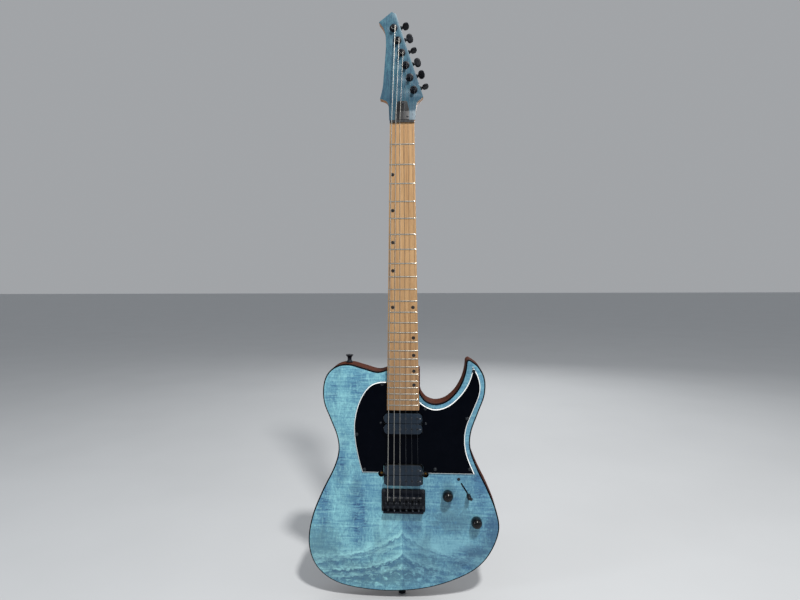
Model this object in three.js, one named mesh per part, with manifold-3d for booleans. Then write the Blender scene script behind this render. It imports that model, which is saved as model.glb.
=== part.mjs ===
// Solid-body electric guitar with a bolt-on neck, in millimetres.
// +Z runs up the neck, the front faces -Y and +X is the treble side.
// The origin is on the centreline at the nut's front edge; y = 0 is the body's top face.
import * as THREE from 'three';
import { mergeVertices } from 'three/addons/utils/BufferGeometryUtils.js';
import Module from 'manifold-3d';

const wasm = await Module();
wasm.setup();

// ---------------------------------------------------------------- driving dimensions
const bodyThickness = 44;
const capThickness = 6;
const boardTop = -10;
const boardBottom = -4;
const boardRadius = 400;
const boardLength = 495;
const nutHalfWidth = 21;
const boardEndHalfWidth = 28;
const stockBack = 16;
const heelEnd = -494;
const fit = 0.3;

const faceTop = 1;
const veneer = 1;
const rampFoot = 22.5;
const rampHead = 6;
const headTop = 193;
const throat = 30;
const rodDepth = 3.9;

const stringCount = 6;
const nutPitch = 7;
const bridgePitch = 10.8;
const stringRadii = [0.58, 0.46, 0.33, 0.22, 0.17, 0.13];
const nutThickness = 4;
const nutSlotFloor = -11;
const stringLift = 0.15;

const pegFirst = { x: -14.7, z: 164.5 };
const pegPitch = 22.2;
const pegTilt = 18 * Math.PI / 180;
const keyTurns = [72, 8, 84, 4, 52, 82];
const postRadius = 3;
const postTop = -8.5;
const wormOffset = 6.3;
const wormDepth = 22.5;
const keyReach = 23.1;

const neckPickup = { x: 0, z: -519 };
const bridgePickup = { x: 0, z: -610.5 };
const pickup = { width: 67, bobbin: 17.6, gap: 1, corner: 7.5, top: -9, coilBack: 5, baseBack: 7, ear: 43 };

const bridge = { width: 77, top: -637, back: -677.5, plate: 2.5, wall: 2.5, wallTop: -10 };
const saddle = { width: 10.4, crest: -650, front: -647, back: -669, top: -12.6, foot: -3, rear: -9 };
const stringHole = -657.5;

const volumeAt = { x: 78, z: -646 };
const toneAt = { x: 128, z: -692 };
const knob = { radius: 9.3, top: -17.5, shoulder: -7.5, foot: -0.6, shaft: 3, shaftEnd: 11.4 };
const pot = { radius: 12, back: 15, bush: 4.6, bore: 3.4 };

const selectorAt = { x: 108, z: -635.6 };
const selectorTilt = 32 * Math.PI / 180;
const leverTilt = 20 * Math.PI / 180;
const leverPivot = 26;

const jackAt = { y: 25, z: -704 };
const jackSeat = 162.5;
const jackPlate = { length: 38, width: 26, hole: 5.2, screwRoom: 0.4 };
const well = { depth: 24, earDepth: 18, room: 2, earLength: 13 };
const neckPlate = { width: 51.2, height: 63.2, corner: 4.6, z: -461 };
const cavityWall = 14;
const coverEdge = 19.6;
const seatGap = 0.4;
const selectorSlot = { width: 2.6, length: 26 };
const stringBore = 2.2;
const potHole = 5.2;
const nutTop = -12.2;
const jackBoreRadius = 10;
const pegHole = { neck: 4.6, veneer: 4.8 };
const bush = { collar: 5.8, washer: 6.8, sleeve: 4.3, bore: 3.3, front: -2.2, back: 15.6 };
const housing = { half: 7, low: -8, high: 12, depth: 12, wall: 1.5 };
const headMargin = 5;
const farSide = 60;
const truss = { groove: 3.4, accessTop: 34, coverThickness: 1.6 };
const guardThickness = 2.5;
const plateThickness = 2;

// ---------------------------------------------------------------- outlines, as [x, z]
const bassShoulder = { x: -28.6, z: -425.5 };
const cutawayFoot = { x: 28.6, z: -463 };

// From the bass shoulder down round the lower bout and up to the tip of the horn.
const rimPoints = [
  [-46, -429.5], [-72, -422.5], [-96, -416.5], [-118, -420], [-135, -434.5], [-142.5, -458],
  [-141, -486], [-129.5, -516], [-118.5, -545], [-116, -572], [-124.5, -602], [-145, -643],
  [-163, -687], [-171, -728], [-167, -762], [-150.5, -790], [-119, -810.5], [-72, -820.5],
  [-16, -822.5], [40, -815.5], [90, -799], [129, -777], [154, -747], [168, -708],
  [163, -673], [148, -635], [129.5, -597], [118, -564], [119, -535], [130.5, -502],
  [142, -470], [142.5, -441], [132, -419.5], [117.5, -408],
];
const hornTip = { x: 113.5, z: -405.5 };
const cutawayPoints = [
  [110.2, -411], [108.5, -426], [103, -445], [92, -464.5],
  [75.5, -480], [57, -485.5], [41, -481], [32, -471],
];

// The pickguard's left edge downwards, its right edge upwards and its inner edge to the neck.
const guardLeft = [
  [-42, -447.5], [-58, -454], [-72, -471], [-82, -495], [-87, -523], [-85.5, -553], [-80, -583],
];
const guardFootLeft = { x: -73, z: -608.5 };
const guardFootRight = { x: 125, z: -608.5 };
const guardRight = [
  [112, -576], [108, -550], [111, -525], [122, -497], [132, -472], [134.5, -453], [130, -434],
];
const guardTip = { x: 121, z: -419 };
const guardInner = [
  [119.5, -431], [112, -451.5], [97.5, -472], [78, -488.5], [58.5, -494.5], [42, -491],
];
const guardNeckLeft = -447;
const guardNeckRight = -481.5;

// The head, from the throat on the bass side up to the tip.
const headLeftFlare = [[-23.8, 32], [-26.5, 39.5], [-33, 43.5]];
const headLeftEar = { x: -38.6, z: 45 };
const headLeftSide = [[-34, 64], [-32, 84], [-29.8, 110], [-28, 136], [-29, 155], [-33, 166]];
const headPoint = { x: -39.8, z: 175.5 };
const headCrown = { x: -29, z: 183.5 };
const headTip = { x: -18, z: 192 };
const headCorner = { x: -10.8, z: 188.8 };
const headRightEar = { x: 36, z: 47 };
const headRightFlare = [[31, 42.5], [26, 38], [23.8, 31]];

// Corners of the hull round the controls; the cavity, recess and cover are offsets of it.
const controlCorners = [[78, -646], [97, -620], [122, -640], [136, -690], [134, -714], [122, -714]];

// ---------------------------------------------------------------- finishes
const finishes = {
  tealMaple: { color: 0x6ba9bd, roughness: 0.45, metalness: 0 },
  bodyWood: { color: 0x7c4a2a, roughness: 0.55, metalness: 0 },
  roastedMaple: { color: 0xbb8f5f, roughness: 0.5, metalness: 0 },
  blackMetal: { color: 0x17181a, roughness: 0.35, metalness: 0.7 },
  blackGloss: { color: 0x08090c, roughness: 0.12, metalness: 0 },
  blackPlastic: { color: 0x22262b, roughness: 0.5, metalness: 0 },
  steel: { color: 0xb9bcc0, roughness: 0.3, metalness: 1 },
  bronze: { color: 0xb8b2a6, roughness: 0.35, metalness: 1 },
};

// ---------------------------------------------------------------- solid helpers
function weld(geometry) {
  const bare = geometry.clone();
  bare.deleteAttribute('normal');
  bare.deleteAttribute('uv');
  const merged = mergeVertices(bare, 1e-4);
  const kept = [];
  for (let i = 0; i < merged.index.count; i += 3) {
    const a = merged.index.getX(i);
    const b = merged.index.getX(i + 1);
    const c = merged.index.getX(i + 2);
    if (a !== b && b !== c && c !== a) kept.push(a, b, c);
  }
  merged.setIndex(kept);
  return merged;
}

function toManifold(geometry) {
  const welded = weld(geometry);
  const vertProperties = new Float32Array(welded.attributes.position.array);
  const triVerts = new Uint32Array(welded.index.array);
  return new wasm.Manifold(new wasm.Mesh({ numProp: 3, vertProperties, triVerts }));
}

function fromManifold(manifold) {
  const result = manifold.getMesh();
  const geometry = new THREE.BufferGeometry();
  geometry.setAttribute('position', new THREE.BufferAttribute(result.vertProperties, 3));
  geometry.setIndex(new THREE.BufferAttribute(result.triVerts, 1));
  return geometry;
}

function cut(geometry, ...tools) {
  let manifold = toManifold(geometry);
  for (const tool of tools) manifold = manifold.subtract(toManifold(tool));
  return fromManifold(manifold);
}

function join(...geometries) {
  let manifold = toManifold(geometries[0]);
  for (const geometry of geometries.slice(1)) manifold = manifold.add(toManifold(geometry));
  return fromManifold(manifold);
}

function common(a, b) {
  return fromManifold(toManifold(a).intersect(toManifold(b)));
}

// A plate drawn in x and z, from its front face to its back face in y.
function slab(shape, front, back, curveSegments = 6) {
  const options = { depth: back - front, bevelEnabled: false, curveSegments };
  return new THREE.ExtrudeGeometry(shape, options).rotateX(Math.PI / 2).translate(0, back, 0);
}

// A bar whose section is drawn in z and y, from one x to another.
function bar(corners, left, right) {
  const shape = new THREE.Shape(corners.map(([z, y]) => new THREE.Vector2(-z, y)));
  const options = { depth: right - left, bevelEnabled: false };
  return new THREE.ExtrudeGeometry(shape, options).rotateY(Math.PI / 2).translate(left, 0, 0);
}

function block(low, high) {
  const size = high.map((value, axis) => value - low[axis]);
  const middle = high.map((value, axis) => (value + low[axis]) / 2);
  return new THREE.BoxGeometry(...size).translate(...middle);
}

// A turned piece on the y axis; the profile holds [radius, y] and runs from front to back outside.
function turned(profile, segments = 16) {
  return new THREE.LatheGeometry(profile.map(([radius, y]) => new THREE.Vector2(radius, y)), segments);
}

function rod(radius, front, back, segments = 16) {
  return turned([[0, front], [radius, front], [radius, back], [0, back]], segments);
}

function roundedRect(width, height, corner, x = 0, z = 0) {
  const shape = new THREE.Shape();
  const right = width / 2 - corner;
  const top = height / 2 - corner;
  shape.absarc(x + right, z + top, corner, 0, Math.PI / 2);
  shape.absarc(x - right, z + top, corner, Math.PI / 2, Math.PI);
  shape.absarc(x - right, z - top, corner, Math.PI, Math.PI * 1.5);
  shape.absarc(x + right, z - top, corner, Math.PI * 1.5, Math.PI * 2);
  return shape;
}

function disc(x, z, radius) {
  const shape = new THREE.Shape();
  shape.absarc(x, z, radius, 0, Math.PI * 2);
  return shape;
}

// The outline at a distance round a convex polygon given clockwise.
function roundedHull(corners, radius) {
  const shape = new THREE.Shape();
  corners.forEach(([x, z], i) => {
    const [lastX, lastZ] = corners.at(i - 1);
    const [nextX, nextZ] = corners[(i + 1) % corners.length];
    const start = Math.atan2(z - lastZ, x - lastX) + Math.PI / 2;
    const end = Math.atan2(nextZ - z, nextX - x) + Math.PI / 2;
    shape.absarc(x, z, radius, start, end, true);
  });
  return shape;
}

function vectors(points) {
  return points.map(([x, z]) => new THREE.Vector2(x, z));
}

// Joins rings with the same number of points into one closed solid. The rings run towards -z
// and each turns from +x towards +y.
function loft(rings) {
  const count = rings[0].length;
  const positions = rings.flat().flatMap((point) => point.toArray());
  const index = [];
  for (let r = 0; r < rings.length - 1; r += 1) {
    for (let i = 0; i < count; i += 1) {
      const next = (i + 1) % count;
      const a = r * count + i;
      const b = r * count + next;
      index.push(a, b + count, b, a, a + count, b + count);
    }
  }
  const flat = rings[0].map((point) => new THREE.Vector2(point.x, point.y));
  const last = (rings.length - 1) * count;
  for (const [a, b, c] of THREE.ShapeUtils.triangulateShape(flat, [])) {
    index.push(a, b, c, last + c, last + b, last + a);
  }
  const geometry = new THREE.BufferGeometry();
  geometry.setAttribute('position', new THREE.Float32BufferAttribute(positions, 3));
  geometry.setIndex(index);
  return geometry;
}

// A route through points that keeps its corners where they are.
class CorneredRoute extends THREE.Curve {
  constructor(points) {
    super();
    this.points = points;
  }

  getPointAt(t) {
    return this.points[Math.round(t * (this.points.length - 1))].clone();
  }

  getSpacedPoints() {
    return this.points;
  }

  getTangentAt(t) {
    const at = Math.round(t * (this.points.length - 1));
    const before = this.points[Math.max(at - 1, 0)];
    const after = this.points[Math.min(at + 1, this.points.length - 1)];
    const here = this.points[at];
    const arriving = here.clone().sub(before).normalize();
    const leaving = after.clone().sub(here).normalize();
    return arriving.add(leaving).normalize();
  }
}

const guitar = new THREE.Group();
guitar.name = 'electric_guitar';

function add(name, geometry, finish, parent = guitar) {
  const mesh = new THREE.Mesh(weld(geometry), new THREE.MeshStandardMaterial(finishes[finish]));
  mesh.name = name;
  parent.add(mesh);
  return mesh;
}

// ---------------------------------------------------------------- shared measures
function halfWidth(z) {
  const share = Math.min(Math.max(-z / boardLength, 0), 1);
  return nutHalfWidth + (boardEndHalfWidth - nutHalfWidth) * share;
}

function pegPlace(i) {
  const x = pegFirst.x + pegPitch * i * Math.sin(pegTilt);
  const z = pegFirst.z - pegPitch * i * Math.cos(pegTilt);
  return { x, z };
}

function fan(pitch, i) {
  return pitch * (i - (stringCount - 1) / 2);
}

const indices = Array.from({ length: stringCount }, (_, i) => i);

// ---------------------------------------------------------------- body
function bodyOutline() {
  const shape = new THREE.Shape();
  shape.moveTo(bassShoulder.x, bassShoulder.z);
  shape.splineThru(vectors(rimPoints));
  shape.quadraticCurveTo(hornTip.x, hornTip.z, ...cutawayPoints[0]);
  shape.splineThru(vectors([...cutawayPoints.slice(1), [cutawayFoot.x, cutawayFoot.z]]));
  shape.lineTo(cutawayFoot.x, bassShoulder.z);
  return shape;
}

function neckPocket() {
  const top = -380;
  const bottom = heelEnd - fit;
  const shape = new THREE.Shape();
  shape.moveTo(-halfWidth(top) - fit, top);
  shape.lineTo(-halfWidth(bottom) - fit, bottom);
  shape.lineTo(halfWidth(bottom) + fit, bottom);
  shape.lineTo(halfWidth(cutawayFoot.z) + fit, cutawayFoot.z);
  shape.lineTo(halfWidth(cutawayFoot.z) + 3, cutawayFoot.z + 1);
  shape.lineTo(halfWidth(cutawayFoot.z) + 3, top);
  return shape;
}

function pickupWell(at) {
  const { width, bobbin, gap, ear } = pickup;
  const length = bobbin * 2 + gap + well.room;
  const room = slab(roundedRect(width + well.room, length, 3, at.x, at.z), -1, well.depth, 2);
  const ears = slab(roundedRect(ear * 2 + 3, well.earLength, 5, at.x, at.z), -1, well.earDepth, 3);
  return join(room, ears);
}

function selectorFrame(geometry) {
  return geometry.rotateY(-selectorTilt).translate(selectorAt.x, 0, selectorAt.z);
}

function makeBody() {
  const shape = bodyOutline();
  const pocket = slab(neckPocket(), -1, stockBack);
  const wells = [pickupWell(neckPickup), pickupWell(bridgePickup)];
  const stringHoles = indices.map((i) => (
    rod(stringBore, -1, bodyThickness + 1, 6).translate(fan(bridgePitch, i), 0, stringHole)
  ));
  const potHoles = [volumeAt, toneAt].map(({ x, z }) => (
    rod(potHole, -1, capThickness + 1, 12).translate(x, 0, z)
  ));
  const slotShape = roundedRect(selectorSlot.width, selectorSlot.length, 1.2);
  const leverSlot = selectorFrame(slab(slotShape, -1, capThickness + 1, 2));
  const cap = slab(shape, 0, capThickness, 3);
  add('body_top', cut(cap, pocket, ...wells, ...stringHoles, ...potHoles, leverSlot), 'tealMaple');

  const core = slab(shape, capThickness, bodyThickness, 3);
  const seatFloor = bodyThickness - plateThickness;
  const cavity = slab(roundedHull(controlCorners, cavityWall), capThickness - 1, bodyThickness + 1, 2);
  const coverSeat = slab(roundedHull(controlCorners, coverEdge + seatGap), seatFloor, bodyThickness + 1, 3);
  const { width, height, corner } = neckPlate;
  const grown = [width + seatGap * 2, height + seatGap * 2, corner + seatGap];
  const seatOutline = roundedRect(...grown, 0, neckPlate.z);
  const neckSeat = slab(seatOutline, seatFloor, bodyThickness + 1, 3);
  const jackBore = rod(jackBoreRadius, 0, 40, 16).rotateZ(-Math.PI / 2).translate(140, jackAt.y, jackAt.z);
  const halfWide = jackPlate.width / 2 + jackPlate.screwRoom;
  const halfLong = jackPlate.length / 2 + jackPlate.screwRoom;
  const jackSlot = block(
    [jackSeat, jackAt.y - halfWide, jackAt.z - halfLong],
    [190, jackAt.y + halfWide, jackAt.z + halfLong],
  );
  const recesses = [cavity, coverSeat, neckSeat, jackBore, jackSlot];
  add('body', cut(core, pocket, ...wells, ...stringHoles, ...recesses), 'bodyWood');

  const cover = slab(roundedHull(controlCorners, coverEdge), seatFloor, bodyThickness, 3);
  add('control_cover', cover, 'blackPlastic');
  const plate = slab(roundedRect(width, height, corner, 0, neckPlate.z), seatFloor, bodyThickness, 3);
  add('neck_plate', plate, 'blackMetal');
}

// ---------------------------------------------------------------- neck and head
function headOutline() {
  const shape = new THREE.Shape();
  shape.moveTo(-22.2, rampHead - 4);
  shape.lineTo(-23.4, throat - 4);
  shape.splineThru(vectors([...headLeftFlare, [headLeftEar.x, headLeftEar.z]]));
  shape.splineThru(vectors([...headLeftSide, [headPoint.x, headPoint.z]]));
  shape.quadraticCurveTo(headCrown.x, headCrown.z, headTip.x, headTip.z);
  shape.lineTo(headCorner.x, headCorner.z);
  shape.lineTo(headRightEar.x, headRightEar.z);
  shape.splineThru(vectors(headRightFlare));
  shape.lineTo(23.4, throat - 4);
  shape.lineTo(22.2, rampHead - 4);
  return shape;
}

// The back of the neck is a shallow C that squares up at the heel and behind the head.
function neckRing(z) {
  const headBlend = THREE.MathUtils.smoothstep(z, -14, throat - 2);
  const heelBlend = 1 - THREE.MathUtils.smoothstep(z, -432, -398);
  const blend = Math.max(headBlend, heelBlend);
  const shallow = 11.2 + 2 * Math.min(-z / 400, 1);
  const back = THREE.MathUtils.lerp(shallow, stockBack, blend);
  const power = THREE.MathUtils.lerp(2.3, 12, blend * blend);
  const headShare = Math.min(z / (throat - 4), 1);
  const half = z > 0 ? THREE.MathUtils.lerp(nutHalfWidth, 23.4, headShare) : halfWidth(z);
  const steps = 12;
  const ring = [];
  for (let i = 0; i <= steps; i += 1) {
    const turn = Math.PI * i / steps;
    const across = Math.sign(Math.cos(turn)) * Math.abs(Math.cos(turn)) ** (2 / power);
    const deep = Math.sin(turn) ** (2 / power);
    ring.push(new THREE.Vector3(half * across, boardBottom + (back - boardBottom) * deep, z));
  }
  return ring;
}

function airOverHead(depth) {
  const low = -40;
  const corners = [
    [rampHead, low], [rampHead, boardBottom + depth], [rampFoot, faceTop + depth],
    [headTop + headMargin, faceTop + depth], [headTop + headMargin, low],
  ];
  return bar(corners, -farSide, farSide);
}

function makeNeck() {
  const stations = [
    36, 28, 20, 12, 4, -4, -14, -40, -150, -280, -396, -403, -410, -417, -424, -432, heelEnd,
  ];
  const shaft = loft(stations.map(neckRing));
  const headBlank = slab(headOutline(), boardBottom, stockBack, 4);
  const headArea = block([-farSide, -20, throat], [farSide, 30, headTop + headMargin]);
  const head = common(headBlank, headArea);
  const pegHoles = indices.map((i) => (
    rod(pegHole.neck, -5, 20, 12).translate(pegPlace(i).x, 0, pegPlace(i).z)
  ));
  const rodGroove = block(
    [-truss.groove, boardBottom - 1, -478],
    [truss.groove, rodDepth + truss.groove, truss.accessTop],
  );
  const blank = join(shaft, head);
  add('neck', cut(blank, airOverHead(veneer), ...pegHoles, rodGroove), 'roastedMaple');

  const skin = cut(
    slab(headOutline(), -12, faceTop + veneer, 4),
    airOverHead(0),
    block([-farSide, -20, -10], [farSide, 30, rampHead]),
  );
  const behind = block([-farSide, -20, -10], [farSide, 30, headTop + headMargin]);
  const backing = cut(behind, airOverHead(veneer));
  const skinHoles = indices.map((i) => (
    rod(pegHole.veneer, -5, 20, 12).translate(pegPlace(i).x, 0, pegPlace(i).z)
  ));
  const access = block([-4.5, -20, 0], [4.5, 20, truss.accessTop]);
  add('head_veneer', cut(skin, backing, access, ...skinHoles), 'tealMaple');

  const { coverThickness } = truss;
  const coverCorners = [[-12, 6.4], [-12, 24], [-8, 40], [8, 40], [12, 24], [12, 6.4]];
  const coverShape = new THREE.Shape(vectors(coverCorners));
  const coverTop = [
    [rampHead, boardBottom - coverThickness], [rampFoot, faceTop - coverThickness],
    [60, faceTop - coverThickness], [60, faceTop], [rampFoot, faceTop], [rampHead, boardBottom],
  ];
  add('truss_rod_cover', common(slab(coverShape, -20, 10), bar(coverTop, -30, 30)), 'blackPlastic');

  const trussRod = join(rod(2.8, -475, 8, 12), rod(3.1, 8, 16, 6));
  add('truss_rod', trussRod.rotateX(Math.PI / 2).translate(0, rodDepth, 0), 'steel');
}

function boardRing(z) {
  const half = halfWidth(z);
  const steps = 8;
  const ring = [new THREE.Vector3(-half, boardBottom, z), new THREE.Vector3(half, boardBottom, z)];
  for (let i = 0; i <= steps; i += 1) {
    const x = half - 2 * half * i / steps;
    const crown = boardRadius - Math.sqrt(boardRadius ** 2 - x ** 2);
    ring.push(new THREE.Vector3(x, boardTop + crown, z));
  }
  return ring.reverse();
}

function makeBoard() {
  add('fingerboard', loft([boardRing(0), boardRing(-boardLength)]), 'roastedMaple');

  const blank = block([-nutHalfWidth, nutTop, 0], [nutHalfWidth, boardBottom, nutThickness]);
  const slots = indices.map((i) => {
    const x = fan(nutPitch, i);
    const half = stringRadii[i] + 0.2;
    return block([x - half, nutTop - 1, -1], [x + half, nutSlotFloor, nutThickness + 1]);
  });
  add('nut', cut(blank, ...slots), 'blackPlastic');
}

// ---------------------------------------------------------------- strings
function stringRoute(i) {
  const radius = stringRadii[i];
  const nutX = fan(nutPitch, i);
  const bridgeX = fan(bridgePitch, i);
  const peg = pegPlace(i);
  const nutY = nutSlotFloor - radius - stringLift;
  const crestY = saddle.top - radius - 0.2;
  return [
    new THREE.Vector3(peg.x + 2.3, -5, peg.z - postRadius - radius - 0.1),
    new THREE.Vector3(nutX, nutY, nutThickness - 0.2),
    new THREE.Vector3(nutX, nutY, 0),
    new THREE.Vector3(bridgeX, crestY, saddle.crest),
    new THREE.Vector3(bridgeX, crestY, saddle.crest - 2.6),
    new THREE.Vector3(bridgeX, crestY + 2.5, saddle.crest - 4.6),
    new THREE.Vector3(bridgeX, -3.5, stringHole),
    new THREE.Vector3(bridgeX, bodyThickness - 3, stringHole),
  ];
}

function makeStrings() {
  indices.forEach((i) => {
    const route = new CorneredRoute(stringRoute(i));
    const section = new THREE.Shape();
    section.absarc(0, 0, stringRadii[i], 0, Math.PI * 2);
    const steps = route.points.length - 1;
    const wire = new THREE.ExtrudeGeometry(section, { steps, extrudePath: route, curveSegments: 3 });
    add(`string_${i + 1}`, wire, i < 3 ? 'bronze' : 'steel');
  });
}

// ---------------------------------------------------------------- tuners
// Each tuner is made in its own frame: x points out along the key, z up the row of pegs.
function makeTuner(i) {
  const group = new THREE.Group();
  const { x, z } = pegPlace(i);
  group.position.set(x, 0, z);
  group.rotation.y = -pegTilt;
  guitar.add(group);

  const { half, low, high, depth, wall } = housing;
  const shell = block([-half, stockBack, low], [half, stockBack + depth, high]);
  const barrel = rod(3.8, 5, 13, 10).rotateZ(-Math.PI / 2).translate(0, wormDepth, wormOffset);
  const gearRoom = block(
    [wall - half, stockBack - 1, low + wall],
    [half - wall, stockBack + depth - wall, high - wall],
  );
  const shaftBore = rod(2.3, 4, 14, 10).rotateZ(-Math.PI / 2).translate(0, wormDepth, wormOffset);
  add(`tuner_housing_${i + 1}`, cut(join(shell, barrel), gearRoom, shaftBore), 'blackMetal', group);

  const postProfile = [
    [0, postTop], [postRadius, postTop], [postRadius, 20.5], [4.1, 20.5], [4.1, 24.5], [0, 24.5],
  ];
  add(`tuner_post_${i + 1}`, turned(postProfile, 12), 'blackMetal', group);

  const bushProfile = [
    [bush.bore, bush.front], [bush.collar, bush.front], [bush.washer, 0], [bush.washer, faceTop],
    [bush.sleeve, faceTop], [bush.sleeve, bush.back], [bush.bore, bush.back], [bush.bore, bush.front],
  ];
  add(`tuner_bush_${i + 1}`, turned(bushProfile, 10), 'blackMetal', group);

  const stemProfile = [
    [0, -5], [1.9, -5], [1.9, 13.4], [3.4, 13.4], [3.4, 15.6], [2.2, 17.5], [2.2, 21], [0, 21],
  ];
  const stem = turned(stemProfile, 8);
  const grip = new THREE.SphereGeometry(1, 10, 7).scale(5.7, 3, 7.9).translate(keyReach, 0, 0);
  const key = add(`tuner_key_${i + 1}`, join(stem.rotateZ(-Math.PI / 2), grip), 'blackMetal', group);
  key.position.set(0, wormDepth, wormOffset);
  key.rotation.x = keyTurns[i] * Math.PI / 180;
}

// ---------------------------------------------------------------- pickguard and pickups
function makePickguard() {
  const leftEdge = -halfWidth(guardNeckLeft) - fit;
  const rightEdge = halfWidth(guardNeckRight) + fit;
  const shape = new THREE.Shape();
  shape.moveTo(leftEdge, guardNeckLeft);
  shape.splineThru(vectors([...guardLeft, [guardFootLeft.x, guardFootLeft.z]]));
  shape.lineTo(guardFootRight.x, guardFootRight.z);
  shape.splineThru(vectors([...guardRight, [guardTip.x, guardTip.z]]));
  shape.splineThru(vectors([...guardInner, [rightEdge, guardNeckRight]]));
  const blank = slab(shape, -guardThickness, 0, 3);
  const neckCut = slab(neckPocket(), -10, 10);
  const boardCut = block([-30, -10, -boardLength - fit], [30, 10, heelEnd]);
  const length = pickup.bobbin * 2 + pickup.gap + 1.6;
  const windowShape = roundedRect(pickup.width + 1.6, length, 8, neckPickup.x, neckPickup.z);
  const notchShape = roundedRect(pickup.width + 3, length + 2, 6, bridgePickup.x, bridgePickup.z);
  const window = slab(windowShape, -10, 10, 4);
  const notch = slab(notchShape, -10, 10, 4);
  const ears = [-1, 1].map((side) => rod(5.8, -10, 10, 16).translate(side * 39, 0, bridgePickup.z));
  add('pickguard', cut(blank, neckCut, boardCut, window, notch, ...ears), 'blackGloss');
}

function makePickup(name, at) {
  const { width, bobbin, gap, corner, top, coilBack, baseBack, ear } = pickup;
  const step = (bobbin + gap) / 2;
  const coils = [-1, 1].map((side) => (
    slab(roundedRect(width, bobbin, corner, at.x, at.z + side * step), top, coilBack, 4)
  ));
  const base = slab(roundedRect(width - 1, bobbin * 2 + gap - 1, 2, at.x, at.z), coilBack, baseBack, 2);
  const ears = slab(roundedRect(ear * 2, 10, 4, at.x, at.z), coilBack, baseBack, 3);
  add(name, join(base, ears, ...coils), 'blackPlastic');
}

// ---------------------------------------------------------------- bridge
function makeBridge() {
  const middle = (bridge.top + bridge.back) / 2;
  const outline = roundedRect(bridge.width, bridge.top - bridge.back, 3, 0, middle);
  const plate = slab(outline, -bridge.plate, 0, 3);
  const wall = block(
    [-bridge.width / 2 + 3, bridge.wallTop, bridge.back],
    [bridge.width / 2 - 3, -bridge.plate / 2, bridge.back + bridge.wall],
  );
  const holes = indices.map((i) => rod(2, -20, 5, 6).translate(fan(bridgePitch, i), 0, stringHole));
  add('bridge_plate', cut(join(plate, wall), ...holes), 'blackMetal');

  const { width, crest, front, back, top, foot, rear } = saddle;
  const side = [
    [front, foot], [front, top + 2.4], [crest + 0.8, top], [crest - 0.9, top],
    [crest - 6, rear], [back, rear], [back, foot],
  ];
  indices.forEach((i) => {
    const x = fan(bridgePitch, i);
    const slot = block([x - 1.6, top - 2, crest - 14], [x + 1.6, foot + 2, crest - 0.9]);
    add(`saddle_${i + 1}`, cut(bar(side, x - width / 2, x + width / 2), slot), 'blackMetal');
  });
}

// ---------------------------------------------------------------- controls
function makeControl(name, at) {
  const dome = [];
  const steps = 6;
  for (let i = 0; i <= steps; i += 1) {
    const turn = Math.PI / 2 * i / steps;
    const height = knob.shoulder - knob.top;
    dome.push([knob.radius * Math.sin(turn), knob.shoulder - height * Math.cos(turn)]);
  }
  const foot = [
    [knob.radius, knob.foot], [knob.shaft, knob.foot], [knob.shaft, knob.shaftEnd], [0, knob.shaftEnd],
  ];
  add(`${name}_knob`, turned([...dome, ...foot], 16).translate(at.x, 0, at.z), 'blackGloss');

  const can = turned([
    [0, 12.4], [pot.bore, 12.4], [pot.bore, fit], [pot.bush, fit], [pot.bush, capThickness],
    [pot.radius, capThickness], [pot.radius, pot.back], [0, pot.back],
  ], 16);
  add(`${name}_pot`, can.translate(at.x, 0, at.z), 'steel');
}

function makeSelector() {
  const strip = slab(roundedRect(11, 47, 2), capThickness, capThickness + 1.6, 2);
  const slot = slab(roundedRect(3, 27, 1.4), capThickness - 1, capThickness + 3, 2);
  const cheeks = [-1, 1].map((side) => {
    const middle = side * 1.9;
    return block([middle - 0.6, capThickness + 1, -12], [middle + 0.6, 33, 12]);
  });
  const pinHole = rod(1.9, -6, 6, 10).rotateZ(-Math.PI / 2).translate(0, leverPivot, 0);
  add('selector_switch', selectorFrame(cut(join(strip, ...cheeks), slot, pinHole)), 'steel');

  const blade = block([-0.7, leverPivot - 31, -2.5], [0.7, leverPivot + 3, 2.5]);
  const pin = rod(1.6, -2.4, 2.4, 10).rotateZ(-Math.PI / 2).translate(0, leverPivot, 0);
  const tipProfile = [
    [0, leverPivot - 41.5], [2.6, leverPivot - 41.5], [3.6, leverPivot - 40.2], [3.9, leverPivot - 36],
    [3.5, leverPivot - 30.5], [0, leverPivot - 30.5],
  ];
  const lever = join(blade, pin, turned(tipProfile, 12));
  lever.translate(0, -leverPivot, 0).rotateX(leverTilt).translate(0, leverPivot, 0);
  add('selector_lever', selectorFrame(lever), 'blackPlastic');
}

function makeJack() {
  const plateShape = roundedRect(jackPlate.length, jackPlate.width, 12);
  plateShape.holes.push(disc(0, 0, jackPlate.hole));
  const options = { depth: plateThickness, bevelEnabled: false, curveSegments: 4 };
  const plate = new THREE.ExtrudeGeometry(plateShape, options);
  plate.rotateX(Math.PI / 2).rotateZ(Math.PI / 2).rotateX(Math.PI / 2);
  add('jack_plate', plate.translate(jackSeat, jackAt.y, jackAt.z), 'blackMetal');

  const mouth = plateThickness - 0.2;
  const jack = turned([
    [0, -18.5], [8.5, -18.5], [8.5, -4], [4.8, -4], [4.8, mouth], [3.3, mouth], [3.3, -17], [0, -17],
  ], 16);
  add('output_jack', jack.rotateZ(-Math.PI / 2).translate(jackSeat, jackAt.y, jackAt.z), 'steel');
}

function makeStrapButtons() {
  const profile = [[0, 0], [6, 0], [6, 1.5], [3.6, 4], [3.6, 8], [6.8, 12.4], [6.8, 14], [0, 14]];
  const middle = bodyThickness / 2;
  const horn = turned(profile, 16).rotateX(Math.PI / 2).translate(-98, middle, -416.2);
  add('strap_button_horn', horn, 'blackMetal');
  const tail = turned(profile, 16).rotateX(-Math.PI / 2).translate(-4, middle, -823);
  add('strap_button_tail', tail, 'blackMetal');
}

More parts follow.
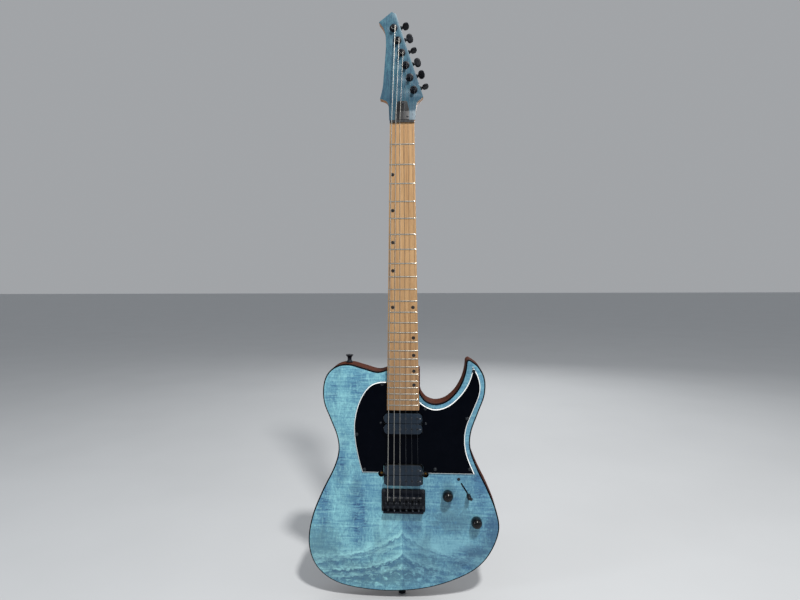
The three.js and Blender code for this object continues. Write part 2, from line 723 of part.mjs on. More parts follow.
makeBody();
makeNeck();
makeBoard();
makeStrings();
indices.forEach(makeTuner);
makePickguard();
makePickup('neck_pickup', neckPickup);
makePickup('bridge_pickup', bridgePickup);
makeBridge();
makeControl('volume', volumeAt);
makeControl('tone', toneAt);
makeSelector();
makeJack();
makeStrapButtons();

export default guitar;
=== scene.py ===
import math

import bmesh
import bpy
from mathutils import Matrix, Vector
from mathutils.geometry import tessellate_polygon


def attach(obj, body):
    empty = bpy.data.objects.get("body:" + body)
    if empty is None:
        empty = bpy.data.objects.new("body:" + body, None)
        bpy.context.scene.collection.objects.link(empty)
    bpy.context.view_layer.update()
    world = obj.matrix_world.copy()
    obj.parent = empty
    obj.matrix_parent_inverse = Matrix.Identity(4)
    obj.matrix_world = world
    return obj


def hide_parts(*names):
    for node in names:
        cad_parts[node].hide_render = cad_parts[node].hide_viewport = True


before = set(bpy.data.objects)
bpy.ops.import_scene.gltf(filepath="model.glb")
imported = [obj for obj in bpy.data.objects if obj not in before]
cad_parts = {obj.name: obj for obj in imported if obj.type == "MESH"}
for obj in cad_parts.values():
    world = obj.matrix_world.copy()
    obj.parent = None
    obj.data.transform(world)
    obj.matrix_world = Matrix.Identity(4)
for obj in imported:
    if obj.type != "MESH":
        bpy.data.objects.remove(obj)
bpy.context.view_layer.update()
mm = 0.001
scene = bpy.context.scene
print("guitar: frame loaded")


# camera, lights and floor
view = {
    "place": (47.28, -860.0, -275.58), "lens": 22.21, "sensor": 36.0,
    "yaw": -3.482, "pitch": -1.837, "roll": -0.185,
}


def makeCamera():
    yaw, pitch, roll = (math.radians(view[key]) for key in ("yaw", "pitch", "roll"))
    ahead = Vector((math.sin(yaw) * math.cos(pitch), math.cos(yaw) * math.cos(pitch), math.sin(pitch)))
    right = Vector((math.cos(yaw), -math.sin(yaw), 0))
    up = right.cross(ahead)
    tiltedRight = right * math.cos(roll) + up * math.sin(roll)
    tiltedUp = up * math.cos(roll) - right * math.sin(roll)
    data = bpy.data.cameras.new("camera")
    data.lens = view["lens"]
    data.sensor_width = view["sensor"]
    data.clip_start = 0.01
    camera = bpy.data.objects.new("camera", data)
    scene.collection.objects.link(camera)
    turn = Matrix((tiltedRight, tiltedUp, -ahead)).transposed().to_4x4()
    camera.matrix_world = Matrix.Translation(Vector(view["place"]) * mm) @ turn
    scene.camera = camera


studio = {
    "floorDrop": 838.0, "floorSize": 60.0, "target": (0.0, 0.0, -0.45),
    "floorPaint": [(186, 189, 192), (193, 196, 199)], "world": (0.90, 0.93, 0.97), "worldPower": 0.40,
    "lights": [
        ("key", (0.25, -0.53, 0.81), 2.3, 0.22, 60.0, (1.0, 0.975, 0.94)),
        ("fillLeft", (-0.85, -0.45, 0.25), 2.2, 0.4, 8.0, (0.93, 0.97, 1.0)),
        ("fillRight", (0.90, -0.10, 0.35), 2.3, 0.8, 4.0, (1.0, 0.98, 0.95)),
        ("fillBack", (0.20, 0.90, 0.45), 2.4, 1.4, 16.0, (1.0, 0.99, 0.97)),
    ],
}


def makeStudio():
    for name, direction, distance, size, power, colour in studio["lights"]:
        data = bpy.data.lights.new(name, "AREA")
        data.shape = "DISK"
        data.size = size
        data.energy = power
        data.color = colour
        light = bpy.data.objects.new(name, data)
        scene.collection.objects.link(light)
        way = Vector(direction).normalized()
        light.matrix_world = (
            Matrix.Translation(Vector(studio["target"]) + way * distance)
            @ way.to_track_quat("Z", "Y").to_matrix().to_4x4()
        )
    world = bpy.data.worlds.new("studio")
    scene.world = world
    world.use_nodes = True
    sky = world.node_tree.nodes["Background"]
    sky.inputs["Color"].default_value = (*studio["world"], 1)
    sky.inputs["Strength"].default_value = studio["worldPower"]
    scene.view_settings.view_transform = "Standard"


makeCamera()
makeStudio()
print("guitar: camera and lights")


# node helpers
def addNode(tree, kind, inputs=None, **settings):
    made = tree.nodes.new(kind)
    for key, value in settings.items():
        setattr(made, key, value)
    for key, value in (inputs or {}).items():
        feed(tree, value, made.inputs[key])
    return made


def feed(tree, value, socket):
    if isinstance(value, bpy.types.NodeSocket):
        tree.links.new(value, socket)
    elif value is not None:
        socket.default_value = value


def calc(tree, operation, *values, clamp=False):
    made = addNode(tree, "ShaderNodeMath", dict(enumerate(values)), operation=operation, use_clamp=clamp)
    return made.outputs[0]


def times(tree, a, b):
    return calc(tree, "MULTIPLY", a, b)


def vectorCalc(tree, operation, a, b=None):
    second = 3 if operation == "SCALE" else 1
    made = addNode(tree, "ShaderNodeVectorMath", {0: a, second: b}, operation=operation)
    return made.outputs["Value" if operation in ("LENGTH", "DOT_PRODUCT") else "Vector"]


def remap(tree, value, low, high, toLow=0.0, toHigh=1.0, smooth=True):
    made = addNode(
        tree, "ShaderNodeMapRange", dict(enumerate((value, low, high, toLow, toHigh))),
        interpolation_type="SMOOTHSTEP" if smooth else "LINEAR",
    )
    return made.outputs[0]


def noise(tree, vector, scale, detail=2.0, roughness=0.5, distortion=0.0):
    made = addNode(tree, "ShaderNodeTexNoise", {
        "Vector": vector, "Scale": scale, "Detail": detail, "Roughness": roughness,
        "Distortion": distortion,
    })
    return made.outputs["Fac"]


def blend(tree, factor, a, b, mode="MIX"):
    first, second = (
        (*value, 1) if isinstance(value, tuple) and len(value) == 3 else value for value in (a, b)
    )
    inputs = {0: factor, 6: first, 7: second}
    made = addNode(tree, "ShaderNodeMix", inputs, data_type="RGBA", blend_type=mode)
    return made.outputs[2]


def stretch(tree, vector, scale):
    return vectorCalc(tree, "MULTIPLY", vector, scale)


def addAxis(tree, vector, axis):
    return addNode(tree, "ShaderNodeSeparateXYZ", {0: vector}).outputs[axis]


def joinAxes(tree, **values):
    return addNode(tree, "ShaderNodeCombineXYZ", values).outputs[0]


def fromSrgb(*colour):
    return tuple(
        v / 255 / 12.92 if v / 255 <= 0.04045 else ((v / 255 + 0.055) / 1.055) ** 2.4 for v in colour
    )


def newGroup(name, inputs, outputs, kind="ShaderNodeTree"):
    group = bpy.data.node_groups.new(name, kind)
    for socketName, socketKind, default in inputs:
        kindName = "NodeSocket" + socketKind
        socket = group.interface.new_socket(socketName, in_out="INPUT", socket_type=kindName)
        if default is not None:
            socket.default_value = default
    for socketName, socketKind in outputs:
        group.interface.new_socket(socketName, in_out="OUTPUT", socket_type="NodeSocket" + socketKind)
    return group, group.nodes.new("NodeGroupInput").outputs, group.nodes.new("NodeGroupOutput").inputs


# shared surface effects, each in millimetres of Object coordinates
def makeGrainGroup():
    group, given, out = newGroup(
        "longGrain", [("Place", "Vector", None), ("Fineness", "Float", 1.0), ("Length", "Float", 0.03)],
        [("Fibre", "Float"), ("Bands", "Float"), ("Pores", "Float")],
    )
    length = times(group, given["Fineness"], given["Length"])
    squeeze = joinAxes(group, X=given["Fineness"], Y=given["Fineness"], Z=length)
    place = stretch(group, given["Place"], squeeze)
    feed(group, noise(group, place, 1.6, 5.0, 0.62, 0.35), out["Fibre"])
    feed(group, noise(group, place, 0.22, 3.0, 0.5, 1.2), out["Bands"])
    feed(group, remap(group, noise(group, place, 3.4, 2.0, 0.7), 0.62, 0.74), out["Pores"])
    return group


# lighter colour along edges: wear on the hardware, and on the pickup bobbins a painted highlight of edges
# catching the light
def makeEdgeWearAndHighlightGroup():
    group, given, out = newGroup(
        "edgeWearAndHighlight", [("Place", "Vector", None), ("Reach", "Float", 0.0005), ("Patches", "Float", 0.5)],
        [("Edge", "Float")],
    )
    rounded = addNode(group, "ShaderNodeBevel", {"Radius": given["Reach"]}, samples=4).outputs[0]
    normal = addNode(group, "ShaderNodeNewGeometry").outputs["Normal"]
    bend = calc(group, "SUBTRACT", 1.0, vectorCalc(group, "DOT_PRODUCT", rounded, normal))
    patches = remap(group, noise(group, given["Place"], 0.35, 4.0, 0.6), given["Patches"], 0.75)
    feed(group, times(group, remap(group, bend, 0.02, 0.14), patches), out["Edge"])
    return group


def makeTouchGroup():
    group, given, out = newGroup(
        "touchMarks", [("Place", "Vector", None), ("Size", "Float", 1.0)],
        [("Smudge", "Float"), ("Dust", "Float"), ("Lines", "Float")],
    )
    place = vectorCalc(group, "SCALE", given["Place"], given["Size"])
    feed(group, remap(group, noise(group, place, 0.045, 4.0, 0.6, 0.6), 0.35, 0.72), out["Smudge"])
    feed(group, remap(group, noise(group, place, 1.9, 2.0, 0.8), 0.66, 0.8), out["Dust"])
    scratched = stretch(group, place, (1.0, 0.6, 0.05))
    feed(group, remap(group, noise(group, scratched, 2.2, 3.0, 0.7, 1.5), 0.6, 0.78), out["Lines"])
    return group


def makeSpotGroup():
    group, given, out = newGroup(
        "softSpot", [("Place", "Vector", None), ("Middle", "Vector", None), ("Size", "Vector", None)],
        [("Spot", "Float")],
    )
    fromMiddle = vectorCalc(group, "SUBTRACT", given["Place"], given["Middle"])
    away = vectorCalc(group, "LENGTH", vectorCalc(group, "DIVIDE", fromMiddle, given["Size"]))
    feed(group, remap(group, away, 1.25, 0.25), out["Spot"])
    return group


effects = {
    "grain": makeGrainGroup(), "wearAndHighlight": makeEdgeWearAndHighlightGroup(), "touch": makeTouchGroup(), "spot": makeSpotGroup(),
}


def useEffect(tree, name, **values):
    return addNode(tree, "ShaderNodeGroup", values, node_tree=effects[name]).outputs


def newMaterial(name, settings):
    material = bpy.data.materials.new(name)
    material.use_nodes = True
    tree = material.node_tree
    shader = tree.nodes["Principled BSDF"]
    for key, value in settings.items():
        shader.inputs[key].default_value = value
    coordinates = addNode(tree, "ShaderNodeTexCoord")
    place = vectorCalc(tree, "SCALE", coordinates.outputs["Object"], 1000.0)
    return material, tree, shader, place


def bump(tree, shader, height, distance):
    feed(tree, addNode(tree, "ShaderNodeBump", {"Distance": distance, "Height": height}).outputs[0],
         shader.inputs["Normal"])


# plain finishes: metal, plastic and lacquer
def plainFinish(name, colour, second, rough, metallic, edge=None, patches=0.5, size=1.0, texture=0.9,
                depth=0.00002, sheen=0.5):
    material, tree, shader, place = newMaterial(name, {"Metallic": metallic, "Specular IOR Level": sheen})
    marks = useEffect(tree, "touch", Place=place, Size=size)
    paint = blend(tree, marks["Smudge"], fromSrgb(*colour), fromSrgb(*second))
    paint = blend(tree, times(tree, marks["Dust"], 0.12), paint, fromSrgb(150, 150, 145))
    # edges lightened toward the edge colour: wear, and on the bobbins a painted highlight
    if edge:
        wornAndLit = useEffect(tree, "wearAndHighlight", Place=place, Patches=patches)
        paint = blend(tree, wornAndLit["Edge"], paint, fromSrgb(*edge))
    feed(tree, paint, shader.inputs["Base Color"])
    roughness = remap(tree, marks["Smudge"], 0.0, 1.0, *rough, smooth=False)
    roughness = calc(tree, "ADD", roughness, times(tree, marks["Lines"], 0.08), clamp=True)
    feed(tree, roughness, shader.inputs["Roughness"])
    bump(tree, shader, noise(tree, place, texture, 3.0, 0.6), depth)
    return material


# woods: light and dark bands with streaks and pores along the grain
def woodFinish(name, light, dark, streak, fineness, length, rough=(0.38, 0.55), shade=None, sheen=0.2):
    material, tree, shader, place = newMaterial(name, {"Specular IOR Level": sheen})
    grain = useEffect(tree, "grain", Place=place, Fineness=fineness, Length=length)
    marks = useEffect(tree, "touch", Place=place, Size=0.8)
    paint = blend(tree, remap(tree, grain["Bands"], 0.3, 0.7), fromSrgb(*light), fromSrgb(*dark))
    paint = blend(tree, remap(tree, grain["Fibre"], 0.42, 0.72, 0.0, 0.55), paint, fromSrgb(*streak))
    paint = blend(tree, times(tree, grain["Pores"], 0.35), paint, fromSrgb(*streak))
    if shade:
        reach = remap(tree, addAxis(tree, place, "Z"), shade["from"], shade["to"])
        paint = blend(tree, reach, paint, shade["tint"], "MULTIPLY")
    feed(tree, paint, shader.inputs["Base Color"])
    roughness = remap(tree, grain["Fibre"], 0.3, 0.8, *rough, smooth=False)
    roughness = calc(tree, "SUBTRACT", roughness, times(tree, marks["Smudge"], 0.06))
    feed(tree, roughness, shader.inputs["Roughness"])
    bump(tree, shader, grain["Fibre"], 0.00004)
    return material


# the stained top: two mirrored halves about the seam
stain = {
    "seam": -2.0, "seamWidth": (0.5, 0.15), "step": 0.9,  # the step sets the two halves a little apart
    "light": (130, 190, 200), "middle": (104, 161, 179), "deep": (56, 108, 146), "ink": (22, 62, 108),
    "grey": (72, 110, 126), "pale": (158, 216, 220), "rightTint": (0.70, 0.74, 0.82),
    "headTint": (0.25, 0.31, 0.36), "headEdge": (1.22, 1.34), "lacquer": {
        "Coat Weight": 0.10, "Coat Roughness": 0.28, "Specular IOR Level": 0.4,
    },
    "waves": {  # stretch, scale, detail, roughness, distortion
        "cloud": ((1.0, 1.0, 0.7), 0.028, 3.0, 0.55, 0.8),
        "speck": ((1.0, 1.0, 0.55), 0.42, 4.0, 0.68, 0.4),
        "flame": ((0.085, 1.0, 0.62), 0.62, 4.0, 0.65, 0.6),
        "wide": ((0.018, 1.0, 0.34), 0.8, 3.0, 0.6, 0.8),
        "torn": ((1.0, 1.0, 1.4), 0.085, 5.0, 0.68, 0.9), "fleck": ((1.0, 1.0, 0.4), 0.20, 4.0, 0.75, 0.6),
        "rough": ((1.0, 1.0, 0.5), 0.10, 6.0, 0.72, 0.0), "uneven": ((1.0, 1.0, 0.6), 0.016, 4.0, 0.6, 0.5),
    },
    # wave, where it starts and is full, share, colour
    "base": [
        ("fibre", 0.45, 0.68, 0.6, "deep"), ("speck", 0.52, 0.68, 0.5, "deep"),
        ("speck", 0.46, 0.32, 0.5, "pale"),
    ],
    "streaks": [
        ("wide", 0.50, 0.62, 0.42, "deep"), ("wide", 0.46, 0.34, 0.30, "pale"),
        ("flame", 0.55, 0.66, 0.38, "deep"),
    ],
    "flecks": [("fleck", 0.51, 0.62, 0.32, "deep"), ("fleck", 0.48, 0.37, 0.32, "pale")],
    "columns": [  # middle, size, strength
        ((-80, -450), (26, 34), 0.55), ((-80, -682), (18, 74), 1.0), ((-142, -660), (15, 60), 0.9),
        ((-112, -590), (12, 50), 0.9), ((-124, -462), (12, 34), 0.5), ((134, -630), (16, 50), 0.8),
        ((104, -760), (22, 30), 0.8),
    ],
    "patches": [  # middle, size, share, colour
        ((-24, -703), (34, 16), 0.12, "pale"), ((-128, -555), (26, 24), 0.40, "pale"),
        ((-52, -640), (34, 30), 0.30, "deep"), ((-60, -792), (110, 26), 0.70, "grey"),
        ((-146, -742), (44, 46), 0.42, "grey"), ((14, -706), (20, 14), 0.42, "ink"),
        ((126, -747), (26, 15), 0.60, "ink"), ((84, -690), (44, 30), 0.55, "grey"),
        ((158, -708), (17, 44), 0.60, "ink"), ((74, -734), (66, 18), 0.36, "pale"),
        ((150, -772), (26, 14), 0.45, "pale"), ((20, -772), (60, 26), 0.40, "grey"),
    ],
    "ridges": [  # top, fall, spread, depth, share
        (-718.0, 52.0, 62.0, 16.0, 0.9), (-756.0, 34.0, 44.0, 20.0, 0.95), (-736.0, 46.0, 80.0, 9.0, 0.6),
        (-782.0, 26.0, 90.0, 12.0, 0.6), (-690.0, 96.0, 70.0, 7.0, 0.3),
    ],
}


def stainOver(tree, paint, factor, share, colour):
    return blend(tree, times(tree, factor, share), paint, fromSrgb(*stain[colour]))


def layered(tree, paint, waves, layers):
    for wave, low, high, share, colour in layers:
        paint = stainOver(tree, paint, remap(tree, waves[wave], low, high), share, colour)
    return paint


def stainSpot(tree, place, middle, size, swell=1.0):
    size = (size[0] * swell, 40.0, size[1] * swell)
    return useEffect(tree, "spot", Place=place, Middle=(middle[0], 0.0, middle[1]), Size=size)["Spot"]


# short cross streaks of the flame, strongest in the inked columns
def addFlame(tree, paint, waves, place):
    columns = None
    for middle, size, strength in stain["columns"]:
        column = times(tree, stainSpot(tree, place, middle, size), strength)
        columns = column if columns is None else calc(tree, "MAXIMUM", columns, column)
    paint = layered(tree, stainOver(tree, paint, columns, 0.72, "deep"), waves, stain["streaks"])
    dashes = times(tree, remap(tree, waves["flame"], 0.50, 0.60), columns)
    return layered(tree, stainOver(tree, paint, dashes, 0.9, "ink"), waves, stain["flecks"])


# patches of stain with torn edges
def addPatches(tree, paint, waves, place):
    tear = calc(tree, "SUBTRACT", waves["torn"], 0.5)
    for middle, size, share, colour in stain["patches"]:
        inside = stainSpot(tree, place, middle, size, 1.3)
        edge = remap(tree, calc(tree, "MULTIPLY_ADD", tear, 3.4, inside), 0.25, 0.95)
        paint = stainOver(tree, paint, times(tree, edge, inside), share, colour)
    return paint


# hill lines of the flat-sawn figure, falling away from the seam: pale above, inked below
def addRidges(tree, paint, waves, away, onRight, z):
    rough = calc(tree, "SUBTRACT", waves["rough"], 0.5)
    for top, fall, spread, depth, share in stain["ridges"]:
        slope = calc(tree, "SUBTRACT", 1.0, calc(tree, "EXPONENT", calc(tree, "DIVIDE", away, -spread)))
        clean = calc(tree, "SUBTRACT", z, calc(tree, "MULTIPLY_ADD", slope, -fall, top))
        gap = calc(tree, "MULTIPLY_ADD", rough, -26.0, clean)
        strokes = joinAxes(tree, X=calc(tree, "MULTIPLY_ADD", onRight, 400.0, away), Z=clean)
        brush = noise(tree, stretch(tree, strokes, (0.22, 1.0, 1.0)), 0.30, 5.0, 0.68, 0.8)
        strength = calc(tree, "MULTIPLY_ADD", onRight, -0.35 * share, share)  # weaker on the right half
        light = times(tree, remap(tree, gap, 13.0, 3.0), remap(tree, gap, 0.0, 1.0))
        light = times(tree, light, remap(tree, brush, 0.60, 0.44, 0.2, 1.0))
        paint = stainOver(tree, paint, times(tree, light, strength), 0.8, "pale")
        shadow = times(tree, remap(tree, gap, 0.4, -0.8), remap(tree, gap, -depth, -depth * 0.1))
        shadow = times(tree, shadow, remap(tree, brush, 0.42, 0.58, 0.1, 1.0))
        paint = stainOver(tree, paint, times(tree, shadow, strength), 0.72, "ink")
    return paint


# mottling of the lower bout, uneven greying, the cooler right half and the seam
def addMottle(tree, paint, waves, away, onRight, z):
    low = remap(tree, z, -735.0, -775.0)
    for start, full, colour in ((0.50, 0.60, "deep"), (0.46, 0.36, "pale")):
        patchy = times(tree, low, remap(tree, waves["torn"], start, full))
        paint = stainOver(tree, paint, patchy, 0.35, colour)
    paint = stainOver(tree, paint, remap(tree, waves["uneven"], 0.48, 0.66), 0.35, "grey")
    tint = blend(tree, onRight, (1.0, 1.0, 1.0), stain["rightTint"])
    paint = blend(tree, 1.0, paint, tint, "MULTIPLY")
    return stainOver(tree, paint, remap(tree, away, *stain["seamWidth"]), 0.45, "deep")
def stainFinish(name, onHead=False):
    material, tree, shader, place = newMaterial(name, stain["lacquer"])
    x, y, z = (addAxis(tree, place, axis) for axis in "XYZ")
    side = calc(tree, "SUBTRACT", x, stain["seam"])
    away = calc(tree, "ABSOLUTE", side)
    onRight = calc(tree, "GREATER_THAN", side, 0.0)
    mirrored = joinAxes(tree, X=calc(tree, "MULTIPLY_ADD", onRight, stain["step"], away), Y=y, Z=z)
    waves = {
        wave: noise(tree, stretch(tree, mirrored, stain["waves"][wave][0]), *stain["waves"][wave][1:])
        for wave in (("cloud", "speck") if onHead else stain["waves"])
    }
    grainPlace = place if onHead else mirrored
    fibre = useEffect(tree, "grain", Place=grainPlace, Fineness=1.0, Length=0.045)["Fibre"]
    waves["fibre"] = fibre
    cloud = remap(tree, waves["cloud"], 0.3, 0.7)
    paint = blend(tree, cloud, fromSrgb(*stain["middle"]), fromSrgb(*stain["light"]))
    paint = layered(tree, paint, waves, stain["base"])
    if onHead:
        paint = stainOver(tree, paint, remap(tree, z, 40.0, 110.0, 1.0, 0.45), 0.45, "grey")
        paint = stainOver(tree, paint, remap(tree, fibre, 0.48, 0.62), 0.55, "ink")
        paint = blend(tree, 1.0, paint, stain["headTint"], "MULTIPLY")
        paint = stainOver(tree, paint, remap(tree, y, *stain["headEdge"]), 0.8, "pale")
        roughness, height = remap(tree, fibre, 0.3, 0.8, 0.36, 0.5), fibre
    else:
        paint = addPatches(tree, addFlame(tree, paint, waves, place), waves, place)
        paint = addRidges(tree, paint, waves, away, onRight, z)
        paint = addMottle(tree, paint, waves, away, onRight, z)
        roughness = remap(tree, waves["speck"], 0.25, 0.75, 0.36, 0.52)
        height = calc(tree, "MULTIPLY_ADD", waves["speck"], 0.5, fibre)
    feed(tree, paint, shader.inputs["Base Color"])
    feed(tree, roughness, shader.inputs["Roughness"])
    bump(tree, shader, height, 0.00003)
    return material


plies = {  # depths where the white middle ply begins and ends
    "black": [(1, 3, 9), (3, 5, 12)], "white": (236, 240, 240),
    "front": (-2.34, -2.24), "back": (-0.86, -0.96),
}


def guardFinish():
    material, tree, shader, place = newMaterial("pickguard", {"Specular IOR Level": 0.03})
    marks = useEffect(tree, "touch", Place=place, Size=1.2)
    y = addAxis(tree, place, "Y")
    paint = blend(tree, marks["Smudge"], *(fromSrgb(*colour) for colour in plies["black"]))
    white = times(tree, remap(tree, y, *plies["front"]), remap(tree, y, *plies["back"]))
    feed(tree, blend(tree, white, paint, fromSrgb(*plies["white"])), shader.inputs["Base Color"])
    roughness = remap(tree, marks["Smudge"], 0.0, 1.0, 0.14, 0.3)
    feed(tree, calc(tree, "ADD", roughness, times(tree, marks["Lines"], 0.12)), shader.inputs["Roughness"])
    bump(tree, shader, noise(tree, place, 0.05, 2.0), 0.00004)
    return material


def stringFinish(name, colour, dark, pitch, depth):
    material, tree, shader, place = newMaterial(name, {"Metallic": 1.0})
    along = addNode(tree, "ShaderNodeUVMap", uv_map="wound").outputs[0]
    smudge = useEffect(tree, "touch", Place=place, Size=3.0)["Smudge"]
    coil = calc(tree, "SINE", times(tree, addAxis(tree, along, "X"), 2 * math.pi / pitch))
    lift = calc(tree, "MULTIPLY_ADD", coil, 0.5, 0.5)
    # painted shade: darker in the winding's grooves, lighter on its crests; the plain strings' long pitch
    # gives lighter and darker bands every 60 mm
    paint = blend(tree, lift, fromSrgb(*dark), fromSrgb(*colour))
    paint = blend(tree, times(tree, smudge, 0.35), paint, fromSrgb(*dark))
    feed(tree, paint, shader.inputs["Base Color"])
    feed(tree, remap(tree, smudge, 0.0, 1.0, 0.42, 0.52), shader.inputs["Roughness"])
    bump(tree, shader, lift, depth)
    return material


woods = {  # light, dark and streak colours, fineness, length of grain, then what differs
    "bodyWood": ((88, 42, 24), (62, 29, 17), (34, 16, 10), 0.7, 0.03, {
        "rough": (0.7, 0.85), "sheen": 0.03,
    }),
    "rimWood": ((66, 32, 18), (52, 25, 14), (34, 16, 10), 0.8, 0.03, {"rough": (0.7, 0.85), "sheen": 0.03}),
    "roastedMaple": ((176, 128, 84), (152, 106, 68), (118, 78, 48), 0.8, 0.02, {}),
    "boardMaple": ((186, 151, 110), (164, 129, 91), (118, 84, 54), 1.1, 0.016, {
        "rough": (0.36, 0.5), "shade": {"from": -330.0, "to": -440.0, "tint": (0.94, 0.92, 0.95)},
    }),
}
plains = {  # colour, second colour, roughness, metallic, then what differs
    "rimLine": ((6, 9, 13), (9, 12, 16), (0.5, 0.64), 0.0, {"depth": 0.00001, "sheen": 0.03}),
    "blackMetal": ((8, 12, 20), (13, 18, 28), (0.40, 0.54), 0.10, {
        "edge": (70, 74, 80), "patches": 0.56, "depth": 0.000012, "sheen": 0.2,
    }),
    "blackScrew": ((30, 34, 40), (44, 48, 54), (0.3, 0.44), 0.55, {
        "edge": (124, 128, 134), "patches": 0.38, "sheen": 0.35,
    }),
    "knobGloss": ((3, 4, 7), (6, 7, 10), (0.21, 0.26), 0.0, {"depth": 0.000004, "sheen": 0.28}),
    "blackPlastic": ((11, 13, 17), (17, 19, 23), (0.42, 0.56), 0.0, {
        "edge": (58, 60, 63), "patches": 0.6, "sheen": 0.3,
    }),
    # the bobbin's light edge colour is a painted highlight, not wear
    "bobbin": ((18, 30, 42), (24, 38, 52), (0.36, 0.5), 0.0, {
        "edge": (92, 104, 118), "patches": 0.45, "sheen": 0.25,
    }),
    "coilTape": ((14, 15, 17), (24, 25, 27), (0.6, 0.8), 0.0, {"texture": 2.4, "depth": 0.00006}),
    "nutBlack": ((26, 26, 28), (36, 36, 38), (0.4, 0.55), 0.0, {"edge": (84, 84, 84)}),
    "pole": ((34, 42, 52), (26, 32, 40), (0.3, 0.45), 0.5, {"edge": (96, 102, 110), "patches": 0.4}),
    "steel": ((150, 152, 156), (124, 126, 130), (0.26, 0.42), 1.0, {"size": 2.0}),
    "darkSteel": ((70, 74, 80), (50, 54, 60), (0.3, 0.46), 0.9, {"size": 2.0}),
    "fretMetal": ((196, 192, 182), (168, 164, 154), (0.22, 0.36), 1.0, {"size": 2.0}),
    "brass": ((150, 118, 66), (104, 78, 42), (0.26, 0.42), 1.0, {"size": 3.0}),
    "inlay": ((22, 20, 20), (34, 30, 28), (0.3, 0.42), 0.0, {"size": 2.0}),
}
wires = {  # colour, dark colour (painted shade in the winding's grooves, and the colour smudges go to), pitch of the winding and its depth
    "woundString": ((186, 184, 178), (172, 170, 164), 0.42, 0.000006),
    "plainString": ((104, 107, 112), (84, 87, 92), 60.0, 0.000002),
}
finishes = {
    "tealTop": stainFinish("tealTop"), "tealHead": stainFinish("tealHead", onHead=True),
    "guard": guardFinish(),
}
for name, (*values, more) in woods.items():
    finishes[name] = woodFinish(name, *values, **more)
for name, (*values, more) in plains.items():
    finishes[name] = plainFinish(name, *values, **more)
for name, values in wires.items():
    finishes[name] = stringFinish(name, *values)
print("guitar: finishes")


# mesh helpers; every length is in millimetres, made metres when a mesh is made
def smoothMesh(obj, crease=34.0):
    mesh = obj.data
    build = bmesh.new()
    build.from_mesh(mesh)
    bmesh.ops.remove_doubles(build, verts=build.verts, dist=0.000002)
    bmesh.ops.dissolve_degenerate(build, edges=build.edges, dist=0.000001)
    bmesh.ops.recalc_face_normals(build, faces=build.faces)
    for face in build.faces:
        face.smooth = True
    build.to_mesh(mesh)
    build.free()
    mesh.set_sharp_from_angle(angle=math.radians(crease))
    return obj


def makeMesh(name, points, faces, place=None, crease=34.0):
    mesh = bpy.data.meshes.new(name)
    turn = place or Matrix()
    mesh.from_pydata([(turn @ Vector(point)) * mm for point in points], [], faces)
    obj = bpy.data.objects.new(name, mesh)
    scene.collection.objects.link(obj)
    return smoothMesh(obj, crease)


def paintAll(obj, *names):
    obj.data.materials.clear()
    for name in names:
        obj.data.materials.append(finishes[name])
    return obj


def painted(name, *parts):
    return [paintAll(part, name) for part in parts]


def gather(name, parts):
    slots = []
    build = bmesh.new()
    for part in parts:
        start = len(build.faces)
        build.from_mesh(part.data)
        build.faces.ensure_lookup_table()
        moved = []
        for material in part.data.materials:
            if material not in slots:
                slots.append(material)
            moved.append(slots.index(material))
        for face in build.faces[start:] if moved else []:
            face.material_index = moved[face.material_index]
    mesh = bpy.data.meshes.new(name)
    build.to_mesh(mesh)
    build.free()
    for material in slots:
        mesh.materials.append(material)
    for part in parts:
        bpy.data.objects.remove(part)
    obj = bpy.data.objects.new(name, mesh)
    scene.collection.objects.link(obj)
    return obj


def finish(obj, body, slot, *nodes):
    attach(obj, body)
    if nodes:
        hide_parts(*nodes)
    return obj


def carve(target, cutters, operation="DIFFERENCE", crease=34.0):
    for cutter in cutters:
        tool = target.modifiers.new("carve", "BOOLEAN")
        tool.operation = operation
        tool.solver = "EXACT"
        tool.object = cutter
    bpy.context.view_layer.update()
    shaped = bpy.data.meshes.new_from_object(target.evaluated_get(bpy.context.evaluated_depsgraph_get()))
    target.modifiers.clear()
    target.data = shaped
    for cutter in cutters:
        bpy.data.objects.remove(cutter)
    return smoothMesh(target, crease)


def counterclockwise(loop):
    area = sum(a[0] * b[1] - b[0] * a[1] for a, b in zip(loop, loop[1:] + loop[:1]))
    return list(loop) if area > 0 else list(reversed(loop))


def inset(loop, distances):
    moved = []
    for i, (x, z) in enumerate(loop):
        before, after = loop[i - 1], loop[(i + 1) % len(loop)]
        sides = []
        for a, b in ((before, (x, z)), ((x, z), after)):
            length = math.hypot(b[0] - a[0], b[1] - a[1]) or 1.0
            sides.append(((a[1] - b[1]) / length, (b[0] - a[0]) / length))
        spread = max(1 + sides[0][0] * sides[1][0] + sides[0][1] * sides[1][1], 0.5)
        moved.append((
            x + distances[i] * (sides[0][0] + sides[1][0]) / spread,
            z + distances[i] * (sides[0][1] + sides[1][1]) / spread,
        ))
    return moved


